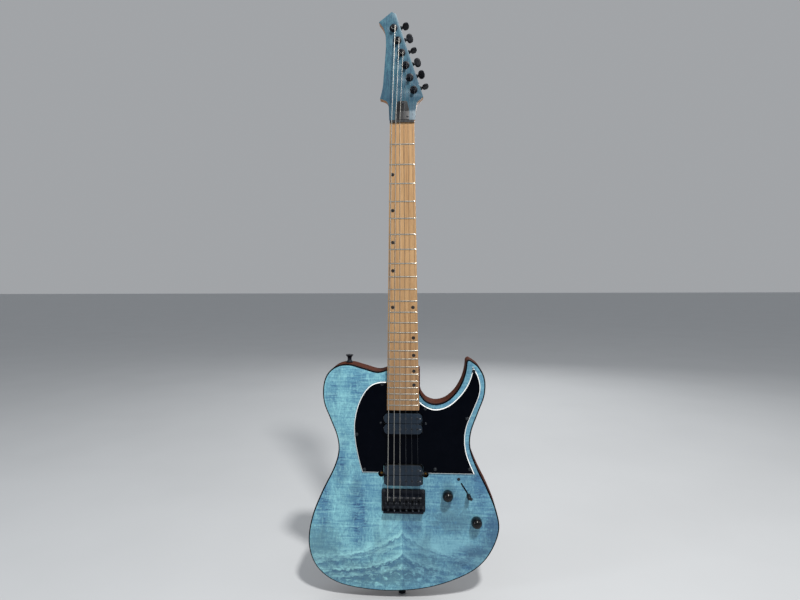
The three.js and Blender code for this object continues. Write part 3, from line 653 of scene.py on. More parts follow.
# a plate drawn in x and z between two depths in y, with rounded edges where asked
def slab(name, outer, holes, front, back, frontEdge=0.0, backEdge=0.0, steps=3, share=None, place=None,
         crease=34.0):
    loops = [counterclockwise(outer)] + [list(reversed(counterclockwise(hole))) for hole in holes]
    profile = []
    for edge, start, sign in ((frontEdge, front, 1), (backEdge, back, -1)):
        levels = [math.pi / 2 * level / steps for level in (range(steps + 1) if edge else (0,))]
        profile += [
            (edge * (1 - math.sin(turn)), start + sign * edge * (1 - math.cos(turn)))
            for turn in levels[::sign]
        ]
    points, faces, rows = [], [], []
    for loop in loops:
        weights = share(loop) if share else [1.0] * len(loop)
        starts = []
        for distance, depth in profile:
            starts.append(len(points))
            points += [(x, depth, z) for x, z in inset(loop, [distance * weight for weight in weights])]
        count = len(loop)
        for a, b in zip(starts, starts[1:]):
            faces += [(a + i, a + (i + 1) % count, b + (i + 1) % count, b + i) for i in range(count)]
        rows.append((starts[0], starts[-1], count))
    for end in (0, 1):
        runs = [range(row[end], row[end] + row[2]) for row in rows]
        flat = [[Vector((points[i][0], points[i][2], 0)) for i in run] for run in runs]
        index = [i for run in runs for i in run]
        faces += [tuple(index[i] for i in triangle) for triangle in tessellate_polygon(flat)]
    return makeMesh(name, points, faces, place, crease)


# a turned piece about the local y axis; the profile holds (radius, y)
def turned(name, profile, count=32, place=None, crease=34.0):
    points, faces, rows = [], [], []
    for radius, depth in profile:
        rows.append((len(points), 1 if radius < 1e-6 else count))
        points += [
            (radius * math.cos(2 * math.pi * i / count), depth, radius * math.sin(2 * math.pi * i / count))
            for i in range(rows[-1][1])
        ]
    for (a, many), (b, more) in zip(rows, rows[1:]):
        for i in range(count):
            j = (i + 1) % count
            ring = [a + i % many, a + j % many, b + j % more, b + i % more]
            corners = list(dict.fromkeys(ring))
            if len(corners) > 2:
                faces.append(tuple(corners))
    return makeMesh(name, points, faces, place, crease)


def loft(name, rings, place=None, crease=34.0):
    count = len(rings[0])
    points = [point for ring in rings for point in ring]
    faces = [tuple(range(count)), tuple((len(rings) - 1) * count + i for i in range(count))]
    for r in range(len(rings) - 1):
        faces += [
            (r * count + i, r * count + (i + 1) % count,
             (r + 1) * count + (i + 1) % count, (r + 1) * count + i)
            for i in range(count)
        ]
    return makeMesh(name, points, faces, place, crease)


def block(name, low, high, place=None):
    rings = [
        [(low[0], low[1], z), (high[0], low[1], z), (high[0], high[1], z), (low[0], high[1], z)]
        for z in (low[2], high[2])
    ]
    return loft(name, rings, place)
def splineThrough(points, steps=8):
    run = [tuple(points[0])]
    last = len(points) - 1
    for i in range(last):
        a, b, c, d = points[max(i - 1, 0)], points[i], points[i + 1], points[min(i + 2, last)]
        for step in range(1, steps + 1):
            t = step / steps
            place = []
            for k in range(2):
                leave, arrive = (c[k] - a[k]) / 2, (d[k] - b[k]) / 2
                place.append(
                    (2 * b[k] - 2 * c[k] + leave + arrive) * t ** 3
                    + (3 * c[k] - 3 * b[k] - 2 * leave - arrive) * t ** 2 + leave * t + b[k]
                )
            run.append(tuple(place))
    return run


def roundTo(start, corner, end, steps=8):
    return [
        tuple((1 - t) ** 2 * start[k] + 2 * t * (1 - t) * corner[k] + t * t * end[k] for k in range(2))
        for t in (step / steps for step in range(1, steps + 1))
    ]


def roundedRect(width, height, corner, x=0.0, z=0.0, steps=6):
    loop = []
    for quarter, (sideX, sideZ) in enumerate(((1, 1), (-1, 1), (-1, -1), (1, -1))):
        for step in range(steps + 1):
            turn = math.pi / 2 * (quarter + step / steps)
            loop.append((
                x + sideX * (width / 2 - corner) + corner * math.cos(turn),
                z + sideZ * (height / 2 - corner) + corner * math.sin(turn),
            ))
    return loop


def circle(x, z, radius, count=32):
    return [
        (x + radius * math.cos(2 * math.pi * i / count), z + radius * math.sin(2 * math.pi * i / count))
        for i in range(count)
    ]


def softCorners(points, radius, steps=4):
    loop = []
    for i, corner in enumerate(points):
        before, after = Vector(points[i - 1]), Vector(points[(i + 1) % len(points)])
        here = Vector(corner)
        start = here + (before - here).normalized() * min(radius, (before - here).length / 2)
        end = here + (after - here).normalized() * min(radius, (after - here).length / 2)
        loop += [tuple(start)] + roundTo(tuple(start), tuple(here), tuple(end), steps)
    return loop


def roundedHull(corners, radius, steps=6):
    loop = []
    for i, (x, z) in enumerate(corners):
        lastX, lastZ = corners[i - 1]
        nextX, nextZ = corners[(i + 1) % len(corners)]
        start = math.atan2(z - lastZ, x - lastX) + math.pi / 2
        end = math.atan2(nextZ - z, nextX - x) + math.pi / 2
        while end > start:
            end -= 2 * math.pi
        loop += [
            (x + radius * math.cos(start + (end - start) * s / steps),
             z + radius * math.sin(start + (end - start) * s / steps))
            for s in range(steps + 1)
        ]
    return loop


def shift(x=0.0, y=0.0, z=0.0):
    return Matrix.Translation((x, y, z))


def spin(degrees, axis):
    return Matrix.Rotation(math.radians(degrees), 4, axis)


# a tube along a path, with the length along it in the map "wound"
def tube(name, path, radius, count=10):
    rings, along, travelled = [], [], 0.0
    ahead = (path[1] - path[0]).normalized()
    across = ahead.orthogonal().normalized()
    for i, here in enumerate(path):
        before, after = path[max(i - 1, 0)], path[min(i + 1, len(path) - 1)]
        ahead = (after - before).normalized()
        across = (across - ahead * across.dot(ahead)).normalized()
        over = ahead.cross(across)
        travelled += (here - before).length
        along.append(travelled)
        turns = [2 * math.pi * k / count for k in range(count)]
        rings.append([here + (across * math.cos(turn) + over * math.sin(turn)) * radius for turn in turns])
    obj = loft(name, rings, crease=50)
    layer = obj.data.uv_layers.new(name="wound")
    spots = {tuple(round(c, 3) for c in point): along[r] for r, ring in enumerate(rings) for point in ring}
    for corner in obj.data.loops:
        vertex = obj.data.vertices[corner.vertex_index].co
        key = tuple(round(c / mm, 3) for c in vertex)
        layer.data[corner.index].uv = (spots.get(key, 0.0), 0.0)
    return obj


# what repeats is set out by geometry nodes
def newTree(name, inputs):
    inputs = [("Geometry", "Geometry", None)] + inputs + [("Finish", "Material", None)]
    tree, given, out = newGroup(name, inputs, [("Geometry", "Geometry")], "GeometryNodeTree")
    tree.is_modifier = True
    return tree, given, out


def endTree(tree, given, out, grown):
    real = addNode(tree, "GeometryNodeRealizeInstances", {0: grown}).outputs[0]
    finished = addNode(tree, "GeometryNodeSetMaterial", {"Geometry": real, "Material": given["Finish"]})
    feed(tree, finished.outputs[0], out["Geometry"])


# copies of one shape at points that carry their own turn
def makeScatterTree():
    tree, given, out = newTree("setOut", [
        ("Shape", "Object", None), ("Loose turn", "Float", 0.0), ("Seed", "Int", 3),
    ])
    shape = addNode(tree, "GeometryNodeObjectInfo", {"Object": given["Shape"]}, transform_space="ORIGINAL")
    lean = addNode(tree, "GeometryNodeInputNamedAttribute", {"Name": "lean"}, data_type="FLOAT_VECTOR")
    chance = addNode(tree, "FunctionNodeRandomValue", {
        2: times(tree, given["Loose turn"], -1.0), 3: given["Loose turn"], "Seed": given["Seed"],
    }, data_type="FLOAT")
    own = addNode(tree, "FunctionNodeAxisAngleToRotation", {"Axis": (0, 1, 0), "Angle": chance.outputs[1]})
    both = addNode(
        tree, "FunctionNodeRotateRotation", {0: lean.outputs[0], 1: own.outputs[0]}, rotation_space="LOCAL",
    )
    placed = addNode(tree, "GeometryNodeInstanceOnPoints", {
        "Points": given["Geometry"], "Instance": shape.outputs["Geometry"], "Rotation": both.outputs[0],
    })
    endTree(tree, given, out, placed.outputs[0])
    return tree


# frets by the rule of twelfth roots, each bent to the board's crown
def makeFretTree():
    tree, given, out = newTree("fretRow", [
        ("Frets", "Int", 24), ("Scale length", "Float", 0.648), ("Nut half", "Float", 0.021),
        ("End half", "Float", 0.028), ("Board length", "Float", 0.495), ("Crown", "Float", 0.4),
        ("Board top", "Float", -0.01), ("Wire", "Float", 0.0011), ("Sink", "Float", 0.0001),
        ("End gap", "Float", 0.0003),
    ])
    inputs = {"Count": given["Frets"], "Offset": (0, 0, 0)}
    row = addNode(tree, "GeometryNodeMeshLine", inputs, mode="OFFSET")
    number = calc(tree, "ADD", addNode(tree, "GeometryNodeInputIndex").outputs[0], 1.0)
    shrink = calc(tree, "POWER", 2.0, calc(tree, "DIVIDE", number, -12.0))
    height = times(tree, calc(tree, "SUBTRACT", shrink, 1.0), given["Scale length"])
    moved = addNode(tree, "GeometryNodeSetPosition", {
        "Geometry": row.outputs[0], "Position": joinAxes(tree, Z=height),
    })
    line = addNode(tree, "GeometryNodeCurvePrimitiveLine", {"Start": (-1, 0, 0), "End": (1, 0, 0)})
    fine = addNode(tree, "GeometryNodeResampleCurve", {"Curve": line.outputs[0], "Count": 25})
    placed = addNode(tree, "GeometryNodeInstanceOnPoints", {
        "Points": moved.outputs[0], "Instance": fine.outputs[0],
    })
    real = addNode(tree, "GeometryNodeRealizeInstances", {0: placed.outputs[0]})
    place = addNode(tree, "GeometryNodeInputPosition").outputs[0]
    x, z = addAxis(tree, place, "X"), addAxis(tree, place, "Z")
    share = calc(tree, "DIVIDE", times(tree, z, -1.0), given["Board length"])
    spread = calc(tree, "SUBTRACT", given["End half"], given["Nut half"])
    half = calc(tree, "MULTIPLY_ADD", share, spread, given["Nut half"])
    across = times(tree, x, calc(tree, "SUBTRACT", half, given["End gap"]))
    sag = calc(tree, "DIVIDE", times(tree, across, across), times(tree, given["Crown"], 2.0))
    depth = calc(tree, "ADD", calc(tree, "ADD", given["Board top"], sag), given["Sink"])
    curved = addNode(tree, "GeometryNodeSetPosition", {
        "Geometry": real.outputs[0], "Position": joinAxes(tree, X=across, Y=depth, Z=z),
    })
    along = addNode(tree, "GeometryNodeSplineParameter").outputs["Factor"]
    centred = calc(tree, "ABSOLUTE", calc(tree, "MULTIPLY_ADD", along, 2.0, -1.0))
    thin = addNode(tree, "GeometryNodeSetCurveRadius", {
        "Curve": curved.outputs[0], "Radius": remap(tree, centred, 0.93, 1.0, 1.0, 0.6),
    })
    ring = addNode(
        tree, "GeometryNodeCurvePrimitiveCircle", {"Resolution": 14, "Radius": given["Wire"]},
        mode="RADIUS",
    )
    swept = addNode(tree, "GeometryNodeCurveToMesh", {
        "Curve": thin.outputs[0], "Profile Curve": ring.outputs[0], "Fill Caps": True,
    })
    if "Scale" in swept.inputs:  # newer versions take the radius by this socket
        feed(tree, addNode(tree, "GeometryNodeInputRadius").outputs[0], swept.inputs["Scale"])
    endTree(tree, given, out, swept.outputs[0])
    return tree


trees = {"scatter": makeScatterTree(), "frets": makeFretTree()}


def grow(name, points, tree, values, leans=None, crease=34.0):
    mesh = bpy.data.meshes.new(name)
    mesh.from_pydata([Vector(point) * mm for point in points], [], [])
    lean = mesh.attributes.new("lean", "FLOAT_VECTOR", "POINT")
    for i, turn in enumerate(leans or [(0, 0, 0)] * len(points)):
        lean.data[i].vector = turn
    obj = bpy.data.objects.new(name, mesh)
    scene.collection.objects.link(obj)
    modifier = obj.modifiers.new(name, "NODES")
    modifier.node_group = tree
    for item in tree.interface.items_tree:
        if item.item_type == "SOCKET" and item.in_out == "INPUT" and item.name in values:
            modifier[item.identifier] = values[item.name]
    bpy.context.view_layer.update()
    grown = bpy.data.meshes.new_from_object(obj.evaluated_get(bpy.context.evaluated_depsgraph_get()))
    obj.modifiers.clear()
    obj.data = grown
    for attribute in [a.name for a in grown.attributes if a.name == "lean"]:
        grown.attributes.remove(grown.attributes[attribute])
    return smoothMesh(obj, crease)


def setOut(name, shape, finishName, points, leans=None, looseTurn=0.0, seed=3):
    made = grow(name, points, trees["scatter"], {
        "Shape": shape, "Finish": finishes[finishName], "Loose turn": looseTurn, "Seed": seed,
    }, leans)
    bpy.data.objects.remove(shape)
    return made


def pair(x, y, z, middle=0.0):
    return [(middle - x, y, z), (middle + x, y, z)]


# screw heads face -y, with their rim at y = 0
def crossScrew(radius, height):
    head = turned("screwShape", [
        (0, -height), (radius * 0.45, -height * 0.96), (radius * 0.75, -height * 0.74),
        (radius * 0.94, -height * 0.36), (radius, 0), (radius, height * 0.4), (0, height * 0.4),
    ], 20)
    long, thin = radius * 0.56, radius * 0.11
    arms = [
        block("armShape", (-long, -height * 2, -thin), (long, -height * 0.3, thin), spin(angle, "Y"))
        for angle in (0, 90)
    ]
    return carve(head, arms)


def slotScrew(radius, height):
    head = turned("screwShape", [
        (0, -height), (radius * 0.8, -height), (radius * 0.95, -height * 0.85), (radius, -height * 0.6),
        (radius, height * 0.5), (0, height * 0.5),
    ], 20)
    long, thin = radius * 2, radius * 0.16
    return carve(head, [block("slotShape", (-long, -height * 2, -thin), (long, -height * 0.45, thin))])


def socketScrew(radius, height, socket=0.5):
    head = turned("screwShape", [
        (0, -height), (radius * 0.82, -height), (radius, -height * 0.8), (radius, height), (0, height),
    ], 18)
    reach = radius * socket
    hexagon = turned("socketShape", [(0, -height * 3), (reach, -height * 3), (reach, 0), (0, 0)], 6)
    return carve(head, [hexagon])


# shared sizes
neckSize = {
    "nutHalf": 21.0, "endHalf": 28.0, "length": 495.0, "boardTop": -10.0, "boardBottom": -4.0,
    "crown": 400.0,
    "stockBack": 16.0, "heelEnd": -494.0, "throat": 30.0,
    "rampHead": 6.0, "rampFoot": 22.5, "faceTop": 1.0, "veneer": 1.0, "fit": 0.3,
}
stringSize = {
    "radii": [0.58, 0.46, 0.33, 0.22, 0.17, 0.13], "nutPitch": 7.0, "bridgePitch": 10.8,
    "nutFloor": -11.0, "lift": 0.15, "hole": -657.5, "holeRadius": 2.2,
    "windings": [2.4, 2.6, 3.0, 3.3, 3.6, 3.8], "postRadius": 2.6, "postTop": -5.0, "end": 40.0,
}
bridgeSize = {
    "width": 77.0, "top": -637.0, "back": -677.5, "plate": 2.5, "wall": 2.5, "wallTop": -10.0,
    "screwX": 34.5, "screwZ": (-641.0, -670.0), "holeRadius": 2.0, "shank": 19.5,
    "saddle": 10.4, "crest": -650.0, "front": -647.0, "rear": -669.0, "saddleTop": -12.6,
    "foot": -3.0, "deck": -9.0,
}
pegRow = {"x": -14.7, "z": 164.5, "pitch": 22.2, "tilt": 18.0, "turns": [72, 8, 84, 4, 52, 82]}


def halfWidth(z):
    share = min(max(-z / neckSize["length"], 0), 1)
    return neckSize["nutHalf"] + (neckSize["endHalf"] - neckSize["nutHalf"]) * share


# places across the six strings, the first on the bass side
def fan(pitch, i):
    return pitch * (i - 2.5)


def boardFace(x):
    return neckSize["boardTop"] + x * x / (2 * neckSize["crown"])


def pegPlace(i):
    tilt = math.radians(pegRow["tilt"])
    return (
        pegRow["x"] + pegRow["pitch"] * i * math.sin(tilt),
        pegRow["z"] - pegRow["pitch"] * i * math.cos(tilt),
    )


# body and top, in two layers with one outline
bodySize = {
    "thickness": 44.0, "cap": 6.0, "rimEdge": 2.4, "backEdge": 5.0,
    "shoulder": (-28.6, -425.5), "foot": (28.6, -463.0), "hornTip": (113.5, -405.5),
    "rim": [
        (-46, -429.5), (-72, -422.5), (-96, -416.5), (-118, -420), (-135, -434.5), (-142.5, -458),
        (-141, -486), (-129.5, -516), (-118.5, -545), (-116, -572), (-124.5, -602), (-145, -643),
        (-163, -687), (-171, -728), (-167, -762), (-150.5, -790), (-119, -810.5), (-72, -820.5),
        (-16, -822.5), (40, -815.5), (90, -799), (129, -777), (154, -747), (168, -708),
        (163, -673), (148, -635), (129.5, -597), (118, -564), (119, -535), (130.5, -502),
        (142, -470), (142.5, -441), (132, -419.5), (117.5, -408),
    ],
    "cutaway": [
        (110.2, -411), (108.5, -426), (103, -445), (92, -464.5), (75.5, -480), (57, -485.5), (41, -481),
        (32, -471),
    ],
    "controls": [(78, -646), (97, -620), (122, -640), (136, -690), (134, -714), (122, -714)],
    "neckPlate": (0.0, -461.0),
}
pickupSize = {
    "neck": (0.0, -519.0), "bridge": (0.0, -610.5), "width": 67.0, "bobbin": 17.6, "gap": 1.0,
    "corner": 7.5,
    "top": -9.0, "coilBack": 5.0, "baseBack": 7.0, "ear": 43.0, "earHole": 39.0, "earRadius": 5.8,
    "polePitch": {"neck": 10.0, "bridge": 10.4}, "poleRadius": 2.4, "wellBack": 24.0,
    "earWell": (1.7, 18.0),
}
controlPlaces = {
    "volume": (78.0, -646.0), "tone": (128.0, -692.0), "selector": (108.0, -635.6), "selectorTilt": 32.0,
}
jackPlace = (162.5, 25.0, -704.0)
proud = -1.0  # where cutters begin in front of the face
through = 45.0  # and where they end behind the body


def bodyOutline():
    loop = splineThrough([bodySize["shoulder"]] + bodySize["rim"])
    loop += roundTo(bodySize["rim"][-1], bodySize["hornTip"], bodySize["cutaway"][0])
    loop += splineThrough(bodySize["cutaway"] + [bodySize["foot"]])[1:]
    return loop + [(bodySize["foot"][0], bodySize["shoulder"][1])]


def neckPocket():
    fit, foot, top = neckSize["fit"], bodySize["foot"][1], -380
    bottom = neckSize["heelEnd"] - fit
    return [
        (-halfWidth(top) - fit, top), (-halfWidth(bottom) - fit, bottom), (halfWidth(bottom) + fit, bottom),
        (halfWidth(foot) + fit, foot), (halfWidth(foot) + 3, foot + 1), (halfWidth(foot) + 3, top),
    ]


def selectorPlace():
    x, z = controlPlaces["selector"]
    return shift(x, 0, z) @ spin(-controlPlaces["selectorTilt"], "Y")


def earHoles(z, back):
    return [
        slab("earHole", circle(side * pickupSize["earHole"], z, pickupSize["earRadius"], 32), [],
             proud * 10, back)
        for side in (-1, 1)
    ]


def frontCutters():
    cutters = [slab("pocketShape", neckPocket(), [], proud, neckSize["stockBack"])]
    width, length = pickupSize["width"] + 2, pickupSize["bobbin"] * 2 + pickupSize["gap"] + 2
    for key in ("neck", "bridge"):
        x, z = pickupSize[key]
        well = roundedRect(width, length, 3, x, z)
        cutters.append(slab("wellShape", well, [], proud, pickupSize["wellBack"]))
        ears = roundedRect(pickupSize["ear"] * 2 + 3, 13, 5, x, z)
        cutters.append(slab("earShape", ears, [], *pickupSize["earWell"]))
        cutters += earHoles(z, 2)
    for i in range(6):
        hole = circle(fan(stringSize["bridgePitch"], i), stringSize["hole"], stringSize["holeRadius"], 16)
        cutters.append(slab("holeShape", hole, [], proud, through))
    return cutters


def makeBody():
    body = slab(
        "bodyCore", bodyOutline(), [], bodySize["cap"], bodySize["thickness"], 0.0, bodySize["backEdge"], 6,
        crease=30,
    )
    seatTop = bodySize["thickness"] - 2
    cutters = frontCutters() + [
        slab("cavityShape", roundedHull(bodySize["controls"], 14), [], 5, through),
        slab("coverShape", roundedHull(bodySize["controls"], 20), [], seatTop, through),
        slab("plateShape", roundedRect(52, 64, 5, *bodySize["neckPlate"]), [], seatTop, through),
        slab("jackSlot", roundedRect(38.8, 26.8, 12.4), [], 0, 30,
             place=shift(*jackPlace) @ spin(-90, "Z") @ spin(90, "Y")),
        turned("jackBore", [(0, 0), (10, 0), (10, 40), (0, 40)], 24,
               shift(140, *jackPlace[1:]) @ spin(-90, "Z")),
    ]
    carve(body, cutters, crease=30)
    finish(paintAll(body, "bodyWood"), "root", "body_wood", "body")

    top = slab("topCap", bodyOutline(), [], 0, bodySize["cap"], bodySize["rimEdge"], 0.0, 4, crease=30)
    potHoles = [
        slab("potShape", circle(*controlPlaces[key], 5.2, 24), [], -1, 7) for key in ("volume", "tone")
    ]
    leverSlot = slab("leverShape", roundedRect(2.6, 26, 1.25), [], -1, 7, place=selectorPlace())
    carve(top, frontCutters() + potHoles + [leverSlot], crease=30)
    paintAll(top, "tealTop", "rimLine", "rimWood")
    for face in top.data.polygons:  # flat face, rounded rim, then the plain wood of the side
        depth = face.center.y / mm
        face.material_index = 0 if depth < 0.02 else 1 if depth < bodySize["rimEdge"] else 2
    finish(top, "root", "teal_top", "body_top")


makeBody()
print("guitar: body")


# neck, head and board
headSize = {
    "leftFlare": [(-23.8, 32), (-26.5, 39.5), (-33, 43.5), (-38.6, 45)],
    "leftSide": [(-34, 64), (-32, 84), (-29.8, 110), (-28, 136), (-29, 155), (-33, 166), (-39.8, 175.5)],
    "crown": (-29, 183.5), "tip": (-18, 192), "corner": (-10.8, 188.8), "rightEar": (36, 47),
    "rightFlare": [(31, 42.5), (26, 38), (23.8, 31)],
    "throatHalf": 23.4, "throat": 26.0, "backEdge": 1.2, "faceEdge": 0.35, "coverThick": 1.6,
    "screwLean": 0.29,
    "truss": [(-12, 6.4), (-12, 24), (-8, 40), (8, 40), (12, 24), (12, 6.4)],
}


def headOutline(foot):
    neckCorner = (headSize["throatHalf"], headSize["throat"])
    leftCorner = (-neckCorner[0], neckCorner[1])
    footHalf = 22.2 + 1.2 * (foot - 2) / 24
    loop = [(-footHalf, foot)]
    if foot < neckSize["rampFoot"]:
        loop.append(leftCorner)
    loop += splineThrough([leftCorner] + headSize["leftFlare"])[1:]
    loop += splineThrough([headSize["leftFlare"][-1]] + headSize["leftSide"])[1:]
    loop += roundTo(headSize["leftSide"][-1], headSize["crown"], headSize["tip"])
    loop += [headSize["corner"], headSize["rightEar"]]
    loop += splineThrough([headSize["rightEar"]] + headSize["rightFlare"])[1:]
    if foot < neckSize["rampFoot"]:
        loop.append(neckCorner)
    return loop + [(footHalf, foot)]


def smoothStep(value, low, high):
    t = min(max((value - low) / (high - low), 0), 1)
    return t * t * (3 - 2 * t)


def neckRing(z, steps=30):
    headBlend = smoothStep(z, -14, neckSize["throat"] - 2)
    heelBlend = 1 - smoothStep(z, -432, -398)
    amount = max(headBlend, heelBlend)
    shallow = 11.2 + 2 * min(-z / 400, 1)
    back = shallow + (neckSize["stockBack"] - shallow) * amount
    power = 2.3 + 9.7 * amount * amount
    half = halfWidth(z) if z <= 0 else 21 + 2.4 * min(z / (neckSize["throat"] - 4), 1)
    buried = 0.2 if z > 27 else 0.0  # this end lies inside the head
    half, back = half - buried, back - buried
    ring = []
    for i in range(steps + 1):
        turn = math.pi * i / steps
        across = math.copysign(abs(math.cos(turn)) ** (2 / power), math.cos(turn))
        deep = max(math.sin(turn), 0) ** (2 / power)
        ring.append((half * across, neckSize["boardBottom"] + (back - neckSize["boardBottom"]) * deep, z))
    return ring


def airOverHead(depth):
    corners = [
        (neckSize["rampHead"], -40), (neckSize["rampHead"], neckSize["boardBottom"] + depth),
        (neckSize["rampFoot"], neckSize["faceTop"] + depth), (198, neckSize["faceTop"] + depth), (198, -40),
    ]
    return loft("airShape", [[(x, y, z) for z, y in corners] for x in (-60, 60)])


def foldToRamp(obj):
    build = bmesh.new()
    build.from_mesh(obj.data)
    bmesh.ops.bisect_plane(
        build, geom=build.verts[:] + build.edges[:] + build.faces[:],
        plane_co=(0, 0, neckSize["rampFoot"] * mm), plane_no=(0, 0, 1),
    )
    slope = (neckSize["faceTop"] - neckSize["boardBottom"]) / (neckSize["rampFoot"] - neckSize["rampHead"])
    for vertex in build.verts:
        vertex.co.y += min(vertex.co.z - neckSize["rampFoot"] * mm, 0) * slope
    build.to_mesh(obj.data)
    build.free()
    return smoothMesh(obj, 25)


def pegHoles(radius):
    return [slab("pegShape", circle(*pegPlace(i), radius, 28), [], -6, 20) for i in range(6)]


def makeNeck():
    stations = [36 - 2 * i for i in range(26)] + [-20, -28, -40, -60, -90]
    stations += [-120 - 30 * i for i in range(9)] + [-380, -392] + [-396 - 2 * i for i in range(19)]
    stations += [-440, -460, neckSize["heelEnd"]]
    shaft = loft("neckShaft", [neckRing(z) for z in stations], crease=40)
    back = neckSize["stockBack"]
    head = slab("headShape", headOutline(headSize["throat"]), [], neckSize["boardBottom"] - 0.5, back,
                0.0, headSize["backEdge"], 4, crease=40)
    carve(shaft, [head], "UNION", 40)
    groove = block("grooveShape", (-3.4, -5, -478), (3.4, 7.3, 34))
    carve(shaft, [airOverHead(neckSize["veneer"])] + pegHoles(4.6) + [groove], crease=40)
    shaft.name = "neckWood"
    finish(paintAll(shaft, "roastedMaple"), "root", "roasted_maple", "neck")


# veneer and truss-rod cover are drawn flat, then folded down to the ramp behind the nut
def makeHeadFace():
    front = neckSize["faceTop"]
    holes = [circle(*pegPlace(i), 4.8, 28) for i in range(6)]
    face = slab("headFace", headOutline(neckSize["rampHead"]), holes, front, front + neckSize["veneer"],
                headSize["faceEdge"], 0.0, 3)
    finish(paintAll(foldToRamp(face), "tealHead"), "root", "teal_head", "head_veneer")

    coverFront, lean = front - headSize["coverThick"], headSize["screwLean"]
    cover = slab("rodCover", softCorners(headSize["truss"], 2.2), [], coverFront, front, 0.5, 0.0, 3)
    foldToRamp(paintAll(cover, "blackPlastic"))
    spots = [(0, coverFront, 36)] + pair(9, neckSize["boardBottom"] + 0.2, 11.2)
    leans = [(0, 0, 0), (lean, 0, 0), (lean, 0, 0)]
    screws = setOut("rodScrews", crossScrew(2.0, 0.7), "blackScrew", spots, leans, 1.5, 5)
    finish(gather("rodCoverSet", [cover, screws]), "root", "black_plastic", "truss_rod_cover")


def boardRing(z, trim, steps=28, edge=1.1):
    half, crown = halfWidth(z) - trim, 2 * neckSize["crown"]
    top = neckSize["boardTop"] + trim

    def corner(side, levels):
        turns = [math.pi / 2 * level / 5 for level in levels]
        shoulder = top + (half - edge) ** 2 / crown
        return [
            (side * (half - edge * (1 - math.cos(turn))), shoulder + edge * (1 - math.sin(turn)), z)
            for turn in turns
        ]

    crest = [(half - edge) * (1 - 2 * i / steps) for i in range(1, steps)]
    ring = [(-half, neckSize["boardBottom"], z), (half, neckSize["boardBottom"], z)] + corner(1, range(6))
    return ring + [(x, top + x * x / crown, z) for x in crest] + corner(-1, range(5, -1, -1))


dotSize = {
    "radius": 3.1, "sideRadius": 1.0, "sideDepth": -6.6,
    "face": [(-16.5, -87.9), (-16.5, -149.2), (-16.5, -203.9), (-16.6, -252.5), (-17.1, -315.7),
             (17.8, -315.7), (18.5, -368.6), (18.8, -399.0), (19.1, -426.4), (19.4, -450.6)],
    "side": [-87.9, -149.2, -203.9, -252.5, -311.5, -319.9, -368.6, -399.0, -426.4, -450.6],
}
nutSize = {
    "foot": 4.0, "shoulder": 11.2, "crown": 12.15, "round": 800.0, "slack": 0.14, "chamfer": 0.12,
    "length": 4,
}


def makeBoard():
    ends = [(0, 0.0), (-60, 0.0), (-160, 0.0), (-260, 0.0), (-360, 0.0), (-494.5, 0.0), (-495, 0.4)]
    board = loft("board", [boardRing(z, trim) for z, trim in ends], crease=40)
    finish(paintAll(board, "boardMaple"), "root", "board_maple", "fingerboard")
    finish(grow("frets", [(0, 0, 0)], trees["frets"], {"Finish": finishes["fretMetal"]}), "root", "steel")

    radius = dotSize["radius"]
    disc = turned("dotShape", [
        (0, -0.06), (radius - 0.1, -0.06), (radius, 0.0), (radius, 0.5), (0, 0.5),
    ], 28)
    faceDots = setOut("faceDots", disc, "inlay", [(x, boardFace(x), z) for x, z in dotSize["face"]],
                      [(0, 0, x / neckSize["crown"]) for x, z in dotSize["face"]])
    radius = dotSize["sideRadius"]
    disc = turned("sideDotShape", [(0, -0.04), (radius, -0.04), (radius, 0.4), (0, 0.4)], 16)
    places = [(-halfWidth(z), dotSize["sideDepth"], z) for z in dotSize["side"]]
    sideDots = setOut("sideDots", disc, "inlay", places, [(0, 0, -math.pi / 2)] * len(places))
    finish(gather("boardDots", [faceDots, sideDots]), "root", "black_plastic")


# the nut, drawn from the front with a round-bottomed slot under each string
def makeNut():
    half, floor, chamfer = neckSize["nutHalf"], -stringSize["nutFloor"], nutSize["chamfer"]
    profile = [(half, nutSize["foot"]), (half, nutSize["shoulder"])]
    for i in range(5, -1, -1):
        x, r = fan(stringSize["nutPitch"], i), stringSize["radii"][i] + nutSize["slack"]
        crown = nutSize["crown"] - x * x / nutSize["round"]
        turns = [math.pi * s / 6 for s in range(7)]
        profile += [(x + r + chamfer, crown), (x + r, crown - 0.15)]
        profile += [(x + r * math.cos(turn), floor + r - r * math.sin(turn)) for turn in turns]
        profile += [(x - r, crown - 0.15), (x - r - chamfer, crown)]
    profile += [(-half, nutSize["shoulder"]), (-half, nutSize["foot"])]
    nut = slab("nutBlock", profile, [], 0, nutSize["length"], place=spin(90, "X"))
    finish(paintAll(nut, "nutBlack"), "root", "nut", "nut")


makeNeck()
makeHeadFace()
makeBoard()
makeNut()
print("guitar: neck, head and board")


# strings: from the post over the nut and its saddle, down through the body
def softened(points, radius, steps=6):
    path = [points[0]]
    for before, here, after in zip(points, points[1:], points[2:]):
        reach = min(radius, (before - here).length * 0.45, (after - here).length * 0.45)
        start = here + (before - here).normalized() * reach
        end = here + (after - here).normalized() * reach
        shares = [s / steps for s in range(steps + 1)]
        path += [(1 - t) ** 2 * start + 2 * t * (1 - t) * here + t * t * end for t in shares]
    return path + [points[-1]]


